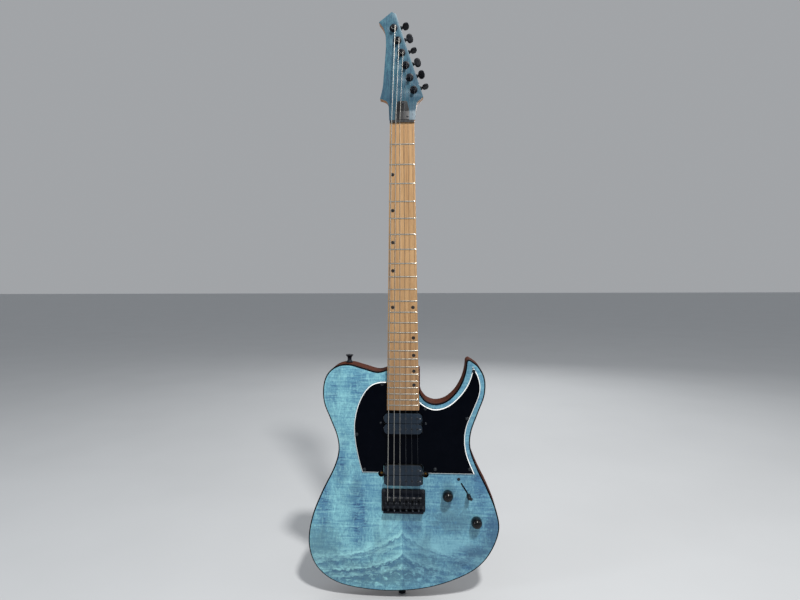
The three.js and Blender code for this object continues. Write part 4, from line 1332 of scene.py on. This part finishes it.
def stringPath(i, count=18):
    radius, hole = stringSize["radii"][i], stringSize["hole"]
    pegX, pegZ = pegPlace(i)
    nutX, bridgeX = fan(stringSize["nutPitch"], i), fan(stringSize["bridgePitch"], i)
    nutY, nutZ = stringSize["nutFloor"] - radius - stringSize["lift"], nutSize["length"]
    crestY = bridgeSize["saddleTop"] - radius - 0.05
    wrap, turns = stringSize["postRadius"] + radius, stringSize["windings"][i]
    ahead = math.atan2(nutZ - pegZ, nutX - pegX)
    leave = ahead + math.acos(wrap / math.hypot(nutX - pegX, nutZ - pegZ))
    path = [Vector((pegX, stringSize["postTop"] + turns * (2 * radius + 0.06) + 0.2, pegZ))]
    for step in range(int(turns * count), -1, -1):
        angle = leave + 2 * math.pi * step / count
        depth = stringSize["postTop"] - 0.2 + step / count * (2 * radius + 0.04)
        path.append(Vector((pegX + wrap * math.cos(angle), depth, pegZ + wrap * math.sin(angle))))
    run = softened([
        path[-1], Vector((nutX, nutY, nutZ)), Vector((nutX, nutY, 0)),
        Vector((bridgeX, crestY, bridgeSize["crest"] - 2.2)),
        Vector((bridgeX, crestY + 1.5, bridgeSize["crest"] - 4.5)),
        Vector((bridgeX, -4.5, hole)), Vector((bridgeX, stringSize["end"], hole)),
    ], 1.6)
    return path + run[1:]


def makeStrings():
    for i, radius in enumerate(stringSize["radii"]):
        wound = i < 3
        wire = tube(f"stringWire{i + 1}", stringPath(i), radius, 14 if wound else 10)
        paintAll(wire, "woundString" if wound else "plainString")
        finish(wire, "root", "wound_string" if wound else "plain_string", f"string_{i + 1}")


makeStrings()
print("guitar: strings")


# tuners, each in its own frame: x out along the key, z up the row
tunerSize = {
    "wormDepth": 22.5, "wormOffset": 6.3, "reach": 23.1, "key": (5.7, 2.9, 7.9), "postSides": 28,
    "shellBack": 28.0, "screw": -4.2,
    "stem": [
        (0, -5), (1.9, -5), (1.9, 13.2), (2.9, 13.2), (3.3, 13.5), (3.4, 14.2), (3.3, 15.2), (2.7, 15.8),
        (2.2, 17),
        (2.0, 19), (2.2, 21.5), (0, 21.5),
    ],
    "post": [
        (0, -8.5), (1.9, -8.5), (2.6, -8.35), (2.95, -7.9), (3.0, -7.3), (2.95, -6.9), (2.55, -6.4),
        (2.5, -2.6),
        (2.9, -2.2), (3.0, -1.8), (3.0, 20.5), (4.1, 20.5), (4.1, 24.5), (0, 24.5),
    ],
    "washer": [
        (3.3, 0.1), (6.4, 0.1), (6.75, 0.3), (6.8, 0.6), (6.8, 1.0), (4.3, 1.0), (4.3, 15.6), (3.3, 15.6),
        (3.3, 0.1),
    ],
    "nut": [(3.25, -2.0), (5.1, -2.0), (5.6, -1.6), (5.6, 0.15), (3.25, 0.15), (3.25, -2.0)],
    "collar": [(3.1, -2.2), (4.2, -2.2), (4.4, -2.0), (4.4, -1.6), (3.1, -1.6), (3.1, -2.2)],
    "barrel": [
        (2.35, 4.5), (3.9, 4.5), (3.9, 10.5), (3.6, 10.9), (3.6, 11.5), (3.8, 11.8), (3.8, 12.6),
        (3.4, 13.0),
        (2.35, 13.0), (2.35, 4.5),
    ],
}
def tunerPlace(i):
    x, z = pegPlace(i)
    return shift(x, 0, z) @ spin(-pegRow["tilt"], "Y")


def wormPlace(i):
    return tunerPlace(i) @ shift(0, tunerSize["wormDepth"], tunerSize["wormOffset"])


# puts a finished shape down in metres, turned and then moved
def putDown(obj, turn, spot):
    obj.data.transform(Matrix.Translation(spot * mm) @ turn)
    return obj


def roundedBlock(name, width, height, corner, front, back, edge, x=0.0, z=0.0, place=None):
    return slab(name, roundedRect(width, height, corner, x, z), [], front, back, edge, edge, 3, place=place)


def makeKey(i, count=40, levels=9):
    place = wormPlace(i) @ spin(pegRow["turns"][i], "X")
    stem = turned("keyStem", tunerSize["stem"], 24, place @ spin(-90, "Z"))
    wide, deep, tall = tunerSize["key"]
    rings = []
    for level in range(-levels, levels + 1):
        lift = math.sin(math.pi / 2 * level / levels)
        size = max(1 - abs(lift) ** 2.6, 0) ** (1 / 2.6)
        ring = []
        for k in range(count):
            turn = 2 * math.pi * k / count
            across, up = math.cos(turn), math.sin(turn)
            swell = (abs(across) ** 2.5 + abs(up) ** 2.5) ** (-1 / 2.5) * (0.12 + 0.88 * size)
            x, z = wide * across * swell, tall * up * swell
            dish = 1 - 0.22 * max(1 - (across * swell) ** 2 - (up * swell) ** 2, 0)
            ring.append((tunerSize["reach"] + x, deep * lift * dish * (0.82 + 0.18 * (z / tall) ** 2), z))
        rings.append(ring)
    grip = loft("keyGrip", rings, place, 50)
    spot = place @ Vector((tunerSize["reach"] + wide - 0.7, 0, 0))
    screw = putDown(slotScrew(1.9, 0.7), place.to_3x3().to_4x4() @ spin(90, "Z"), spot)
    key = gather(f"tunerKey{i + 1}", painted("blackMetal", stem, grip) + painted("blackScrew", screw))
    finish(key, f"tuner_key_{i + 1}", "black_hardware", f"tuner_key_{i + 1}")


def makePost(i):
    place = tunerPlace(i)
    post = turned(f"tunerPost{i + 1}", tunerSize["post"], tunerSize["postSides"], place)
    hollow = turned("postHollow", [(0, -12), (1.2, -12), (1.2, -7.6), (0, -7.6)], 16, place)
    slot = block("postSlot", (-0.5, -12, -4), (0.5, -6.9, 4), place @ spin(30 + 47 * i, "Y"))
    carve(post, [hollow, slot])
    finish(paintAll(post, "blackMetal"), f"tuner_post_{i + 1}", "black_hardware", f"tuner_post_{i + 1}")


def makeHousing(i):
    place, axle = tunerPlace(i), wormPlace(i) @ spin(-90, "Z")
    front, back = neckSize["stockBack"], tunerSize["shellBack"]
    shell = roundedBlock("shell", 14, 20, 2.2, front, back, 1.6, 0, 2, place)
    room = roundedBlock("room", 11, 17, 1.5, 15, 26.5, 0.5, 0, 2, place)
    barrel = turned("barrel", tunerSize["barrel"], 28, axle)
    bore = turned("bore", [(0, 3), (2.3, 3), (2.3, 15), (0, 15)], 24, axle)
    carve(shell, [room, bore])
    spot = place @ Vector((0, tunerSize["shellBack"] - 0.1, tunerSize["screw"]))
    screw = putDown(crossScrew(1.7, 0.5), place.to_3x3().to_4x4() @ spin(180, "X"), spot)
    parts = painted("blackMetal", shell, barrel) + painted("blackScrew", screw)
    housing = gather(f"tunerHousing{i + 1}", parts)
    finish(housing, "root", "black_hardware", f"tuner_housing_{i + 1}")


def makeTuners():
    washer = turned("washerShape", tunerSize["washer"], 36)
    hexNut = turned("nutShape", tunerSize["nut"], 6, crease=20)
    collar = turned("collarShape", tunerSize["collar"], 32)
    bush = gather("bushShape", [washer, hexNut, collar])
    leans = [(0, math.radians(12 + 37 * i), 0) for i in range(6)]
    places = [(x, 0, z) for x, z in map(pegPlace, range(6))]
    bushes = setOut("tunerBushes", bush, "blackMetal", places, leans)
    finish(bushes, "root", "black_hardware", *[f"tuner_bush_{i + 1}" for i in range(6)])
    for i in range(6):
        makeHousing(i)
        makePost(i)
        makeKey(i)


makeTuners()
print("guitar: tuners")


# pickguard, with its edge bevelled down to the white ply all round but the straight foot
guardSize = {
    "thick": 2.5, "edge": 1.7, "neckLeft": -447.0, "neckRight": -481.5,
    "left": [(-42, -447.5), (-58, -454), (-72, -471), (-82, -495), (-87, -523), (-85.5, -553), (-80, -583)],
    "footLeft": (-73, -608.5), "footRight": (125, -608.5),
    "right": [(112, -576), (108, -550), (111, -525), (122, -497), (132, -472), (134.5, -453), (130, -434)],
    "tip": (121, -419), "heightScrews": (39.6, -519.5),
    "inner": [(119.5, -431), (112, -451.5), (97.5, -472), (78, -488.5), (58.5, -494.5), (42, -491)],
    "screws": [(-36.8, -451), (-82.4, -540.6), (-69.1, -603), (38.6, -493.7), (111.9, -510.2),
               (122.8, -427.2),
               (116.2, -599.3), (56, -600.5)],
}


def guardOutline():
    leftEdge = -halfWidth(guardSize["neckLeft"]) - neckSize["fit"]
    rightEdge = halfWidth(guardSize["neckRight"]) + neckSize["fit"]
    boardEnd = -neckSize["length"] - neckSize["fit"]
    leftRun = [(leftEdge, guardSize["neckLeft"])] + guardSize["left"] + [guardSize["footLeft"]]
    curves = splineThrough(leftRun)
    curves += splineThrough([guardSize["footRight"]] + guardSize["right"] + [guardSize["tip"]])
    innerRun = [guardSize["tip"]] + guardSize["inner"] + [(rightEdge, guardSize["neckRight"])]
    curves += splineThrough(innerRun)[1:]
    bevelled = set(curves[2:])
    half = halfWidth(boardEnd) + neckSize["fit"]
    straight = [(half, boardEnd), (-half, boardEnd)]
    return curves + straight, bevelled


def makeGuard():
    outline, bevelled = guardOutline()

    def share(loop):
        return [1.0 if point in bevelled else 0.12 for point in loop]

    face, width = -guardSize["thick"], pickupSize["width"]
    guard = slab("guardPlate", outline, [], face, 0, guardSize["edge"], 0.0, 1, share, crease=30)
    length = pickupSize["bobbin"] * 2 + pickupSize["gap"] + 1.6
    window = roundedRect(width + 1.6, length, 8, *pickupSize["neck"], 8)
    notch = roundedRect(width + 3, length + 2, 6, *pickupSize["bridge"], 8)
    cutters = [slab("windowShape", loop, [], -10, 10) for loop in (window, notch)]
    carve(guard, cutters + earHoles(pickupSize["bridge"][1], 10), crease=30)
    screws = setOut("guardScrews", crossScrew(3.0, 0.9), "blackScrew",
                    [(x, face, z) for x, z in guardSize["screws"]], looseTurn=1.6, seed=11)
    x, z = guardSize["heightScrews"]
    heights = setOut("heightScrews", crossScrew(2.3, 1.2), "blackScrew", pair(x, face, z),
                     looseTurn=1.6, seed=4)
    parts = [paintAll(guard, "guard"), screws, heights]
    finish(gather("guardSet", parts), "root", "pickguard", "pickguard")


def makePickup(key):
    x, z = pickupSize[key]
    width, bobbin, gap, corner = (pickupSize[name] for name in ("width", "bobbin", "gap", "corner"))
    top, back, baseBack = (pickupSize[name] for name in ("top", "coilBack", "baseBack"))
    step = (bobbin + gap) / 2
    parts = []
    for at in (z - step, z + step):
        outer = roundedRect(width, bobbin, corner, x, at, 10)
        inner = roundedRect(width - 2.4, bobbin - 2.4, corner - 1.2, x, at, 10)
        parts += painted("bobbin", slab("flange", outer, [], top, top + 1.5, 0.55, 0.2, 4))
        parts += painted("coilTape", slab("coil", inner, [], top + 1.4, back - 1.2))
        parts += painted("bobbin", slab("foot", outer, [], back - 1.3, back, 0.2, 0.2, 2))
    plate = roundedRect(width - 1, bobbin * 2 + gap - 1, 2, x, z)
    ears = roundedRect(pickupSize["ear"] * 2, 10, 4, x, z)
    parts += painted("darkSteel", slab("base", plate, [], back, baseBack, 0.3, 0.3),
                     slab("ears", ears, [], back + 0.02, baseBack - 0.02, 0.3, 0.3))
    if key == "bridge":
        spots = pair(pickupSize["earHole"], back - 0.2, z - 0.3)
        parts.append(setOut("earScrews", crossScrew(2.9, 1.3), "brass", spots, looseTurn=1.6, seed=7))
    across, radius = [x + fan(pickupSize["polePitch"][key], i) for i in range(6)], pickupSize["poleRadius"]
    parts.append(setOut("poleScrews", socketScrew(radius, 0.5, 0.52), "pole",
                        [(pole, top, z - step) for pole in across], looseTurn=0.9, seed=21))
    slug = turned("slugShape", [
        (0, -0.22), (radius - 0.2, -0.22), (radius, -0.05), (radius, 0.5), (0, 0.5),
    ], 20)
    parts.append(setOut("slugs", slug, "pole", [(pole, top, z + step) for pole in across]))
    ends = [(x + width / 2 - 3.6, top, at) for at in (z - step, z + step)]
    parts.append(setOut("endScrews", crossScrew(1.3, 0.35), "steel", ends, looseTurn=1.2, seed=9))
    finish(gather(f"{key}Pickup", parts), f"{key}_pickup", "bobbin", f"{key}_pickup")


makeGuard()
makePickup("neck")
makePickup("bridge")
print("guitar: pickguard and pickups")


# bridge: plate with a back wall, six saddles, springs and screws
def makeBridge():
    size, pitch = bridgeSize, stringSize["bridgePitch"]
    width, top, back, wallHeight = size["width"], size["top"], size["back"], -size["wallTop"]
    outline = roundedRect(width, top - back, 3, 0, (top + back) / 2)
    plate = slab("bridgePlate", outline, [], -size["plate"], 0, 0.6, 0.0, 3)
    half = width / 2 - 3
    outline = softCorners([(half, 1.2), (half, wallHeight), (-half, wallHeight), (-half, 1.2)], 2.2)
    wall = slab("bridgeWall", outline, [], back, back + size["wall"], 0.4, 0.4, 3, place=spin(90, "X"))
    holes = [circle(fan(pitch, i), stringSize["hole"], size["holeRadius"], 20) for i in range(6)]
    carve(plate, [slab("stringHoleShape", hole, [], -20, 5) for hole in holes])
    parts = painted("blackMetal", plate, wall)
    corners = [spot for z in size["screwZ"] for spot in pair(size["screwX"], -size["plate"], z)]
    parts.append(setOut("plateScrews", crossScrew(3.0, 1.1), "blackScrew", corners, looseTurn=1.6, seed=13))
    spots = [(fan(pitch, i), -6.0, back) for i in range(6)]
    facingBack, facingFront = [(math.pi / 2, 0, 0)] * 6, [(-math.pi / 2, 0, 0)] * 6
    parts.append(setOut("lengthScrews", crossScrew(2.4, 1.5), "blackScrew", spots, facingBack, 1.6, 17))
    reach = size["shank"]
    shank = turned("shankShape", [(0, -reach), (0.9, -reach), (1.25, 0.4 - reach), (1.25, 0), (0, 0)], 14)
    parts.append(setOut("shanks", shank, "blackScrew", spots, facingFront))
    spots = [(x, y, z + size["wall"] + 0.4) for x, y, z in spots]
    parts.append(setOut("springs", makeSpring(1.9, 0.3, 4.2, 4.5), "darkSteel", spots, facingFront))
    finish(gather("bridgeSet", parts), "root", "black_hardware", "bridge_plate")


def makeSpring(radius, wire, height, turns, count=16):
    steps = [(s, 2 * math.pi * s / count) for s in range(int(turns * count) + 1)]
    path = [
        Vector((radius * math.cos(turn), -height * s / (turns * count), radius * math.sin(turn)))
        for s, turn in steps
    ]
    return tube("springShape", path, wire, 6)


def makeSaddles():
    size = bridgeSize
    crest, front, rear, half = size["crest"], size["front"], size["rear"], size["saddle"] / 2 - 0.1
    top, deck, foot = -size["saddleTop"], -size["deck"], -size["foot"]
    outline = [(front, foot), (front, top - 2.2), (front - 0.4, top - 1.5)]
    outline += [(crest + 1.6 - 0.25 * s, top - 0.9 + 0.9 * math.sin(math.pi * s / 8)) for s in range(8)]
    outline += [(crest - 2.4, top - 1.4), (crest - 4.4, deck + 1.0), (crest - 5.6, deck + 0.2)]
    outline.append((crest - 6.8, deck))
    outline += [(rear + 0.5, deck), (rear, deck - 0.5), (rear, foot)]
    sideways = Matrix(((0, 1, 0, 0), (0, 0, -1, 0), (1, 0, 0, 0), (0, 0, 0, 1)))  # drawn from the side
    for i in range(6):
        x = fan(stringSize["bridgePitch"], i)
        saddle = slab("saddle", outline, [], x - half, x + half, 0.35, 0.35, 2, place=sideways)
        carve(saddle, [slab("saddleSlot", roundedRect(3.2, 13.6, 1.55, x, crest - 7.2), [], -16, 2)])
        grubs = setOut("grubs", socketScrew(1.45, 1.1, 0.55), "blackScrew",
                       pair(3.55, -deck - 0.2, crest - 9.5, x), looseTurn=0.9, seed=30 + i)
        lock = setOut("lock", socketScrew(1.9, 0.5, 0.5), "blackScrew", [(x, -deck, crest - 16.4)],
                      seed=40 + i)
        parts = [paintAll(saddle, "blackMetal"), grubs, lock]
        finish(gather(f"saddleBlock{i + 1}", parts), f"saddle_{i + 1}", "black_hardware", f"saddle_{i + 1}")


makeBridge()
makeSaddles()
print("guitar: bridge")


# knobs, selector, jack, strap buttons and the plates behind
knobSize = {"radius": 9.3, "top": -17.5, "shoulder": -7.5, "foot": -0.6, "shaft": 3.0, "shaftEnd": 11.4}


def makeKnob(key):
    radius, shoulder, foot = knobSize["radius"], knobSize["shoulder"], knobSize["foot"]
    turns = [math.pi / 2 * s / 18 for s in range(19)]
    dome = shoulder - knobSize["top"]
    profile = [(radius * math.sin(turn), shoulder - dome * math.cos(turn)) for turn in turns]
    profile += [(radius, foot - 0.7), (radius - 0.25, foot - 0.2), (radius - 0.7, foot)]
    profile.append((knobSize["shaft"], foot))
    profile += [(knobSize["shaft"], knobSize["shaftEnd"]), (0, knobSize["shaftEnd"])]
    x, z = controlPlaces[key]
    knob = turned(f"{key}Knob", profile, 48, shift(x, 0, z))
    finish(paintAll(knob, "knobGloss"), f"{key}_knob", "knob_gloss", f"{key}_knob")


leverSize = {
    "pivot": 26, "swing": 20, "screws": 20.65,
    "tip": [
        (0, -15.5), (1.5, -15.45), (2.6, -15.1), (3.3, -14.3), (3.6, -13.2), (3.85, -10.5), (3.8, -7.5),
        (3.5, -5.2),
        (3.1, -4.6), (2.2, -4.5), (0, -4.5),
    ],
}


def makeSelector():
    pivot = shift(0, leverSize["pivot"], 0)
    place = selectorPlace() @ pivot @ spin(leverSize["swing"], "X") @ pivot.inverted()
    blade = slab("blade", roundedRect(1.4, 5, 0.6), [], -5, 29, place=place)
    pin = turned("pin", [(0, -2.4), (1.6, -2.4), (1.6, 2.4), (0, 2.4)], 20, place @ pivot @ spin(-90, "Z"))
    tip = turned("tip", leverSize["tip"], 32, place)
    lever = gather("selectorBlade", painted("steel", blade, pin) + painted("blackPlastic", tip))
    finish(lever, "selector_lever", "black_plastic", "selector_lever")
    points = [tuple(selectorPlace() @ Vector((0, 0, side * leverSize["screws"]))) for side in (-1, 1)]
    finish(setOut("selectorScrews", crossScrew(2.8, 1.0), "blackScrew", points, looseTurn=1.4, seed=15),
           "root", "black_hardware")


jackProfile = [
    (0, -18.5), (8.3, -18.5), (8.5, -18.2), (8.5, -4.2), (8.2, -4), (4.8, -4), (4.8, 1.4), (4.5, 1.75),
    (3.6, 1.8),
    (3.3, 1.5), (3.3, -17), (0, -17),
]


def makeJack():
    out = shift(*jackPlace) @ spin(90, "Z") @ spin(90, "Y")
    outline = roundedRect(38, 26, 12, 0, 0, 10)
    plate = slab("jackPlate", outline, [circle(0, 0, 5.2, 32)], -2, 0, 0.6, 0.0, 3, place=out)
    spots = [tuple(out @ Vector(spot)) for spot in pair(13.5, -2, 0)]
    facing = [tuple(out.to_euler())] * 2
    screws = setOut("jackScrews", crossScrew(2.7, 0.9), "blackScrew", spots, facing, 1.5, 19)
    parts = [paintAll(plate, "blackMetal"), screws]
    finish(gather("jackPlateSet", parts), "root", "black_hardware", "jack_plate")
    jack = turned("jackBody", jackProfile, 40, shift(*jackPlace) @ spin(-90, "Z"))
    finish(paintAll(jack, "steel"), "root", "steel", "output_jack")


buttons = {
    "profile": [
        (0, 0), (6.2, 0), (6.2, 1.2), (5.6, 2.0), (4.2, 3.2), (3.6, 4.6), (3.55, 7.4), (4.0, 9.4),
        (5.2, 11.2),
        (6.5, 12.2), (6.8, 12.8), (6.7, 13.5), (6.2, 13.95), (5.2, 14), (3.4, 13.6), (0, 13.3),
    ],
    "places": [
        ("hornButton", (-98, 22, -416.2), 90, "strap_button_horn"),
        ("tailButton", (-4, 22, -823), -90, "strap_button_tail"),
    ],
}


def makeButtons():
    for name, spot, turn, node in buttons["places"]:
        place = shift(*spot) @ spin(turn, "X")
        button = paintAll(turned(name, buttons["profile"], 40, place), "blackMetal")
        crown = tuple(place @ Vector((0, buttons["profile"][-1][1], 0)))
        facing = tuple((place @ spin(180, "X")).to_euler())
        screw = setOut("buttonScrew", crossScrew(3.1, 0.7), "blackScrew", [crown], [facing], 1.2, 23)
        finish(gather(name + "Set", [button, screw]), "root", "black_hardware", node)


plateSize = {
    "thick": 2.0, "neck": (51.2, 63.2, 4.6), "bolts": (19, 25), "hull": 19.6, "screwRing": 15.8,
    "screws": (0, 3, 5, 7, 9, 11),
    "ferrule": [
        (1.7, -0.1), (4.2, -0.1), (4.6, 0.15), (4.6, 0.0), (3.9, 0.6), (3.9, 6.0), (1.7, 6.0), (1.7, -0.1),
    ],
}


def makeBackPlates():
    back, front, behind = bodySize["thickness"], bodySize["thickness"] - plateSize["thick"], (math.pi, 0, 0)
    x, z = bodySize["neckPlate"]
    boltX, boltZ = plateSize["bolts"]
    plate = slab("neckPlate", roundedRect(*plateSize["neck"], x, z, 8), [], front, back, 0.0, 0.5, 3)
    corners = [(x + a * boltX, back, z + b * boltZ) for a in (-1, 1) for b in (-1, 1)]
    bolts = setOut("neckBolts", crossScrew(4.2, 1.3), "blackScrew", corners, [behind] * 4, 1.4, 27)
    parts = [paintAll(plate, "blackMetal"), bolts]
    finish(gather("neckPlateSet", parts), "root", "black_hardware", "neck_plate")
    hull = roundedHull(bodySize["controls"], plateSize["hull"], 8)
    cover = slab("controlCover", hull, [], front, back, 0.0, 0.4, 3)
    ring = roundedHull(bodySize["controls"], plateSize["screwRing"], 1)
    places = [(ring[i][0], back, ring[i][1]) for i in plateSize["screws"]]
    screws = setOut("coverScrews", crossScrew(2.6, 0.9), "blackScrew", places, [behind] * 6, 1.4, 29)
    finish(gather("controlCoverSet", [paintAll(cover, "blackPlastic"), screws]), "root", "black_plastic",
           "control_cover")
    ferrule = turned("ferruleShape", plateSize["ferrule"], 28)
    rows = [(fan(stringSize["bridgePitch"], i), back, stringSize["hole"]) for i in range(6)]
    finish(setOut("ferrules", ferrule, "blackMetal", rows, [behind] * 6), "root", "black_hardware")


makeKnob("volume")
makeKnob("tone")
makeSelector()
makeJack()
makeButtons()
makeBackPlates()
for nodeName in ("truss_rod", "volume_pot", "tone_pot", "selector_switch"):
    paintAll(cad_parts[nodeName], "steel")
print("guitar: controls and fittings")


def makeFloor():
    half, height = studio["floorSize"] / 2, -studio["floorDrop"] * mm
    floor = bpy.data.meshes.new("floor")
    corners = [(-half, -half, height), (half, -half, height), (half, half, height), (-half, half, height)]
    floor.from_pydata(corners, [], [(0, 1, 2, 3)])
    obj = bpy.data.objects.new("floor", floor)
    scene.collection.objects.link(obj)
    material, tree, shader, place = newMaterial("floorPaint", {"Roughness": 0.7})
    first, second = (fromSrgb(*colour) for colour in studio["floorPaint"])
    feed(tree, blend(tree, noise(tree, place, 0.004, 3.0), first, second), shader.inputs["Base Color"])
    obj.data.materials.append(material)


makeFloor()
print("guitar: done")
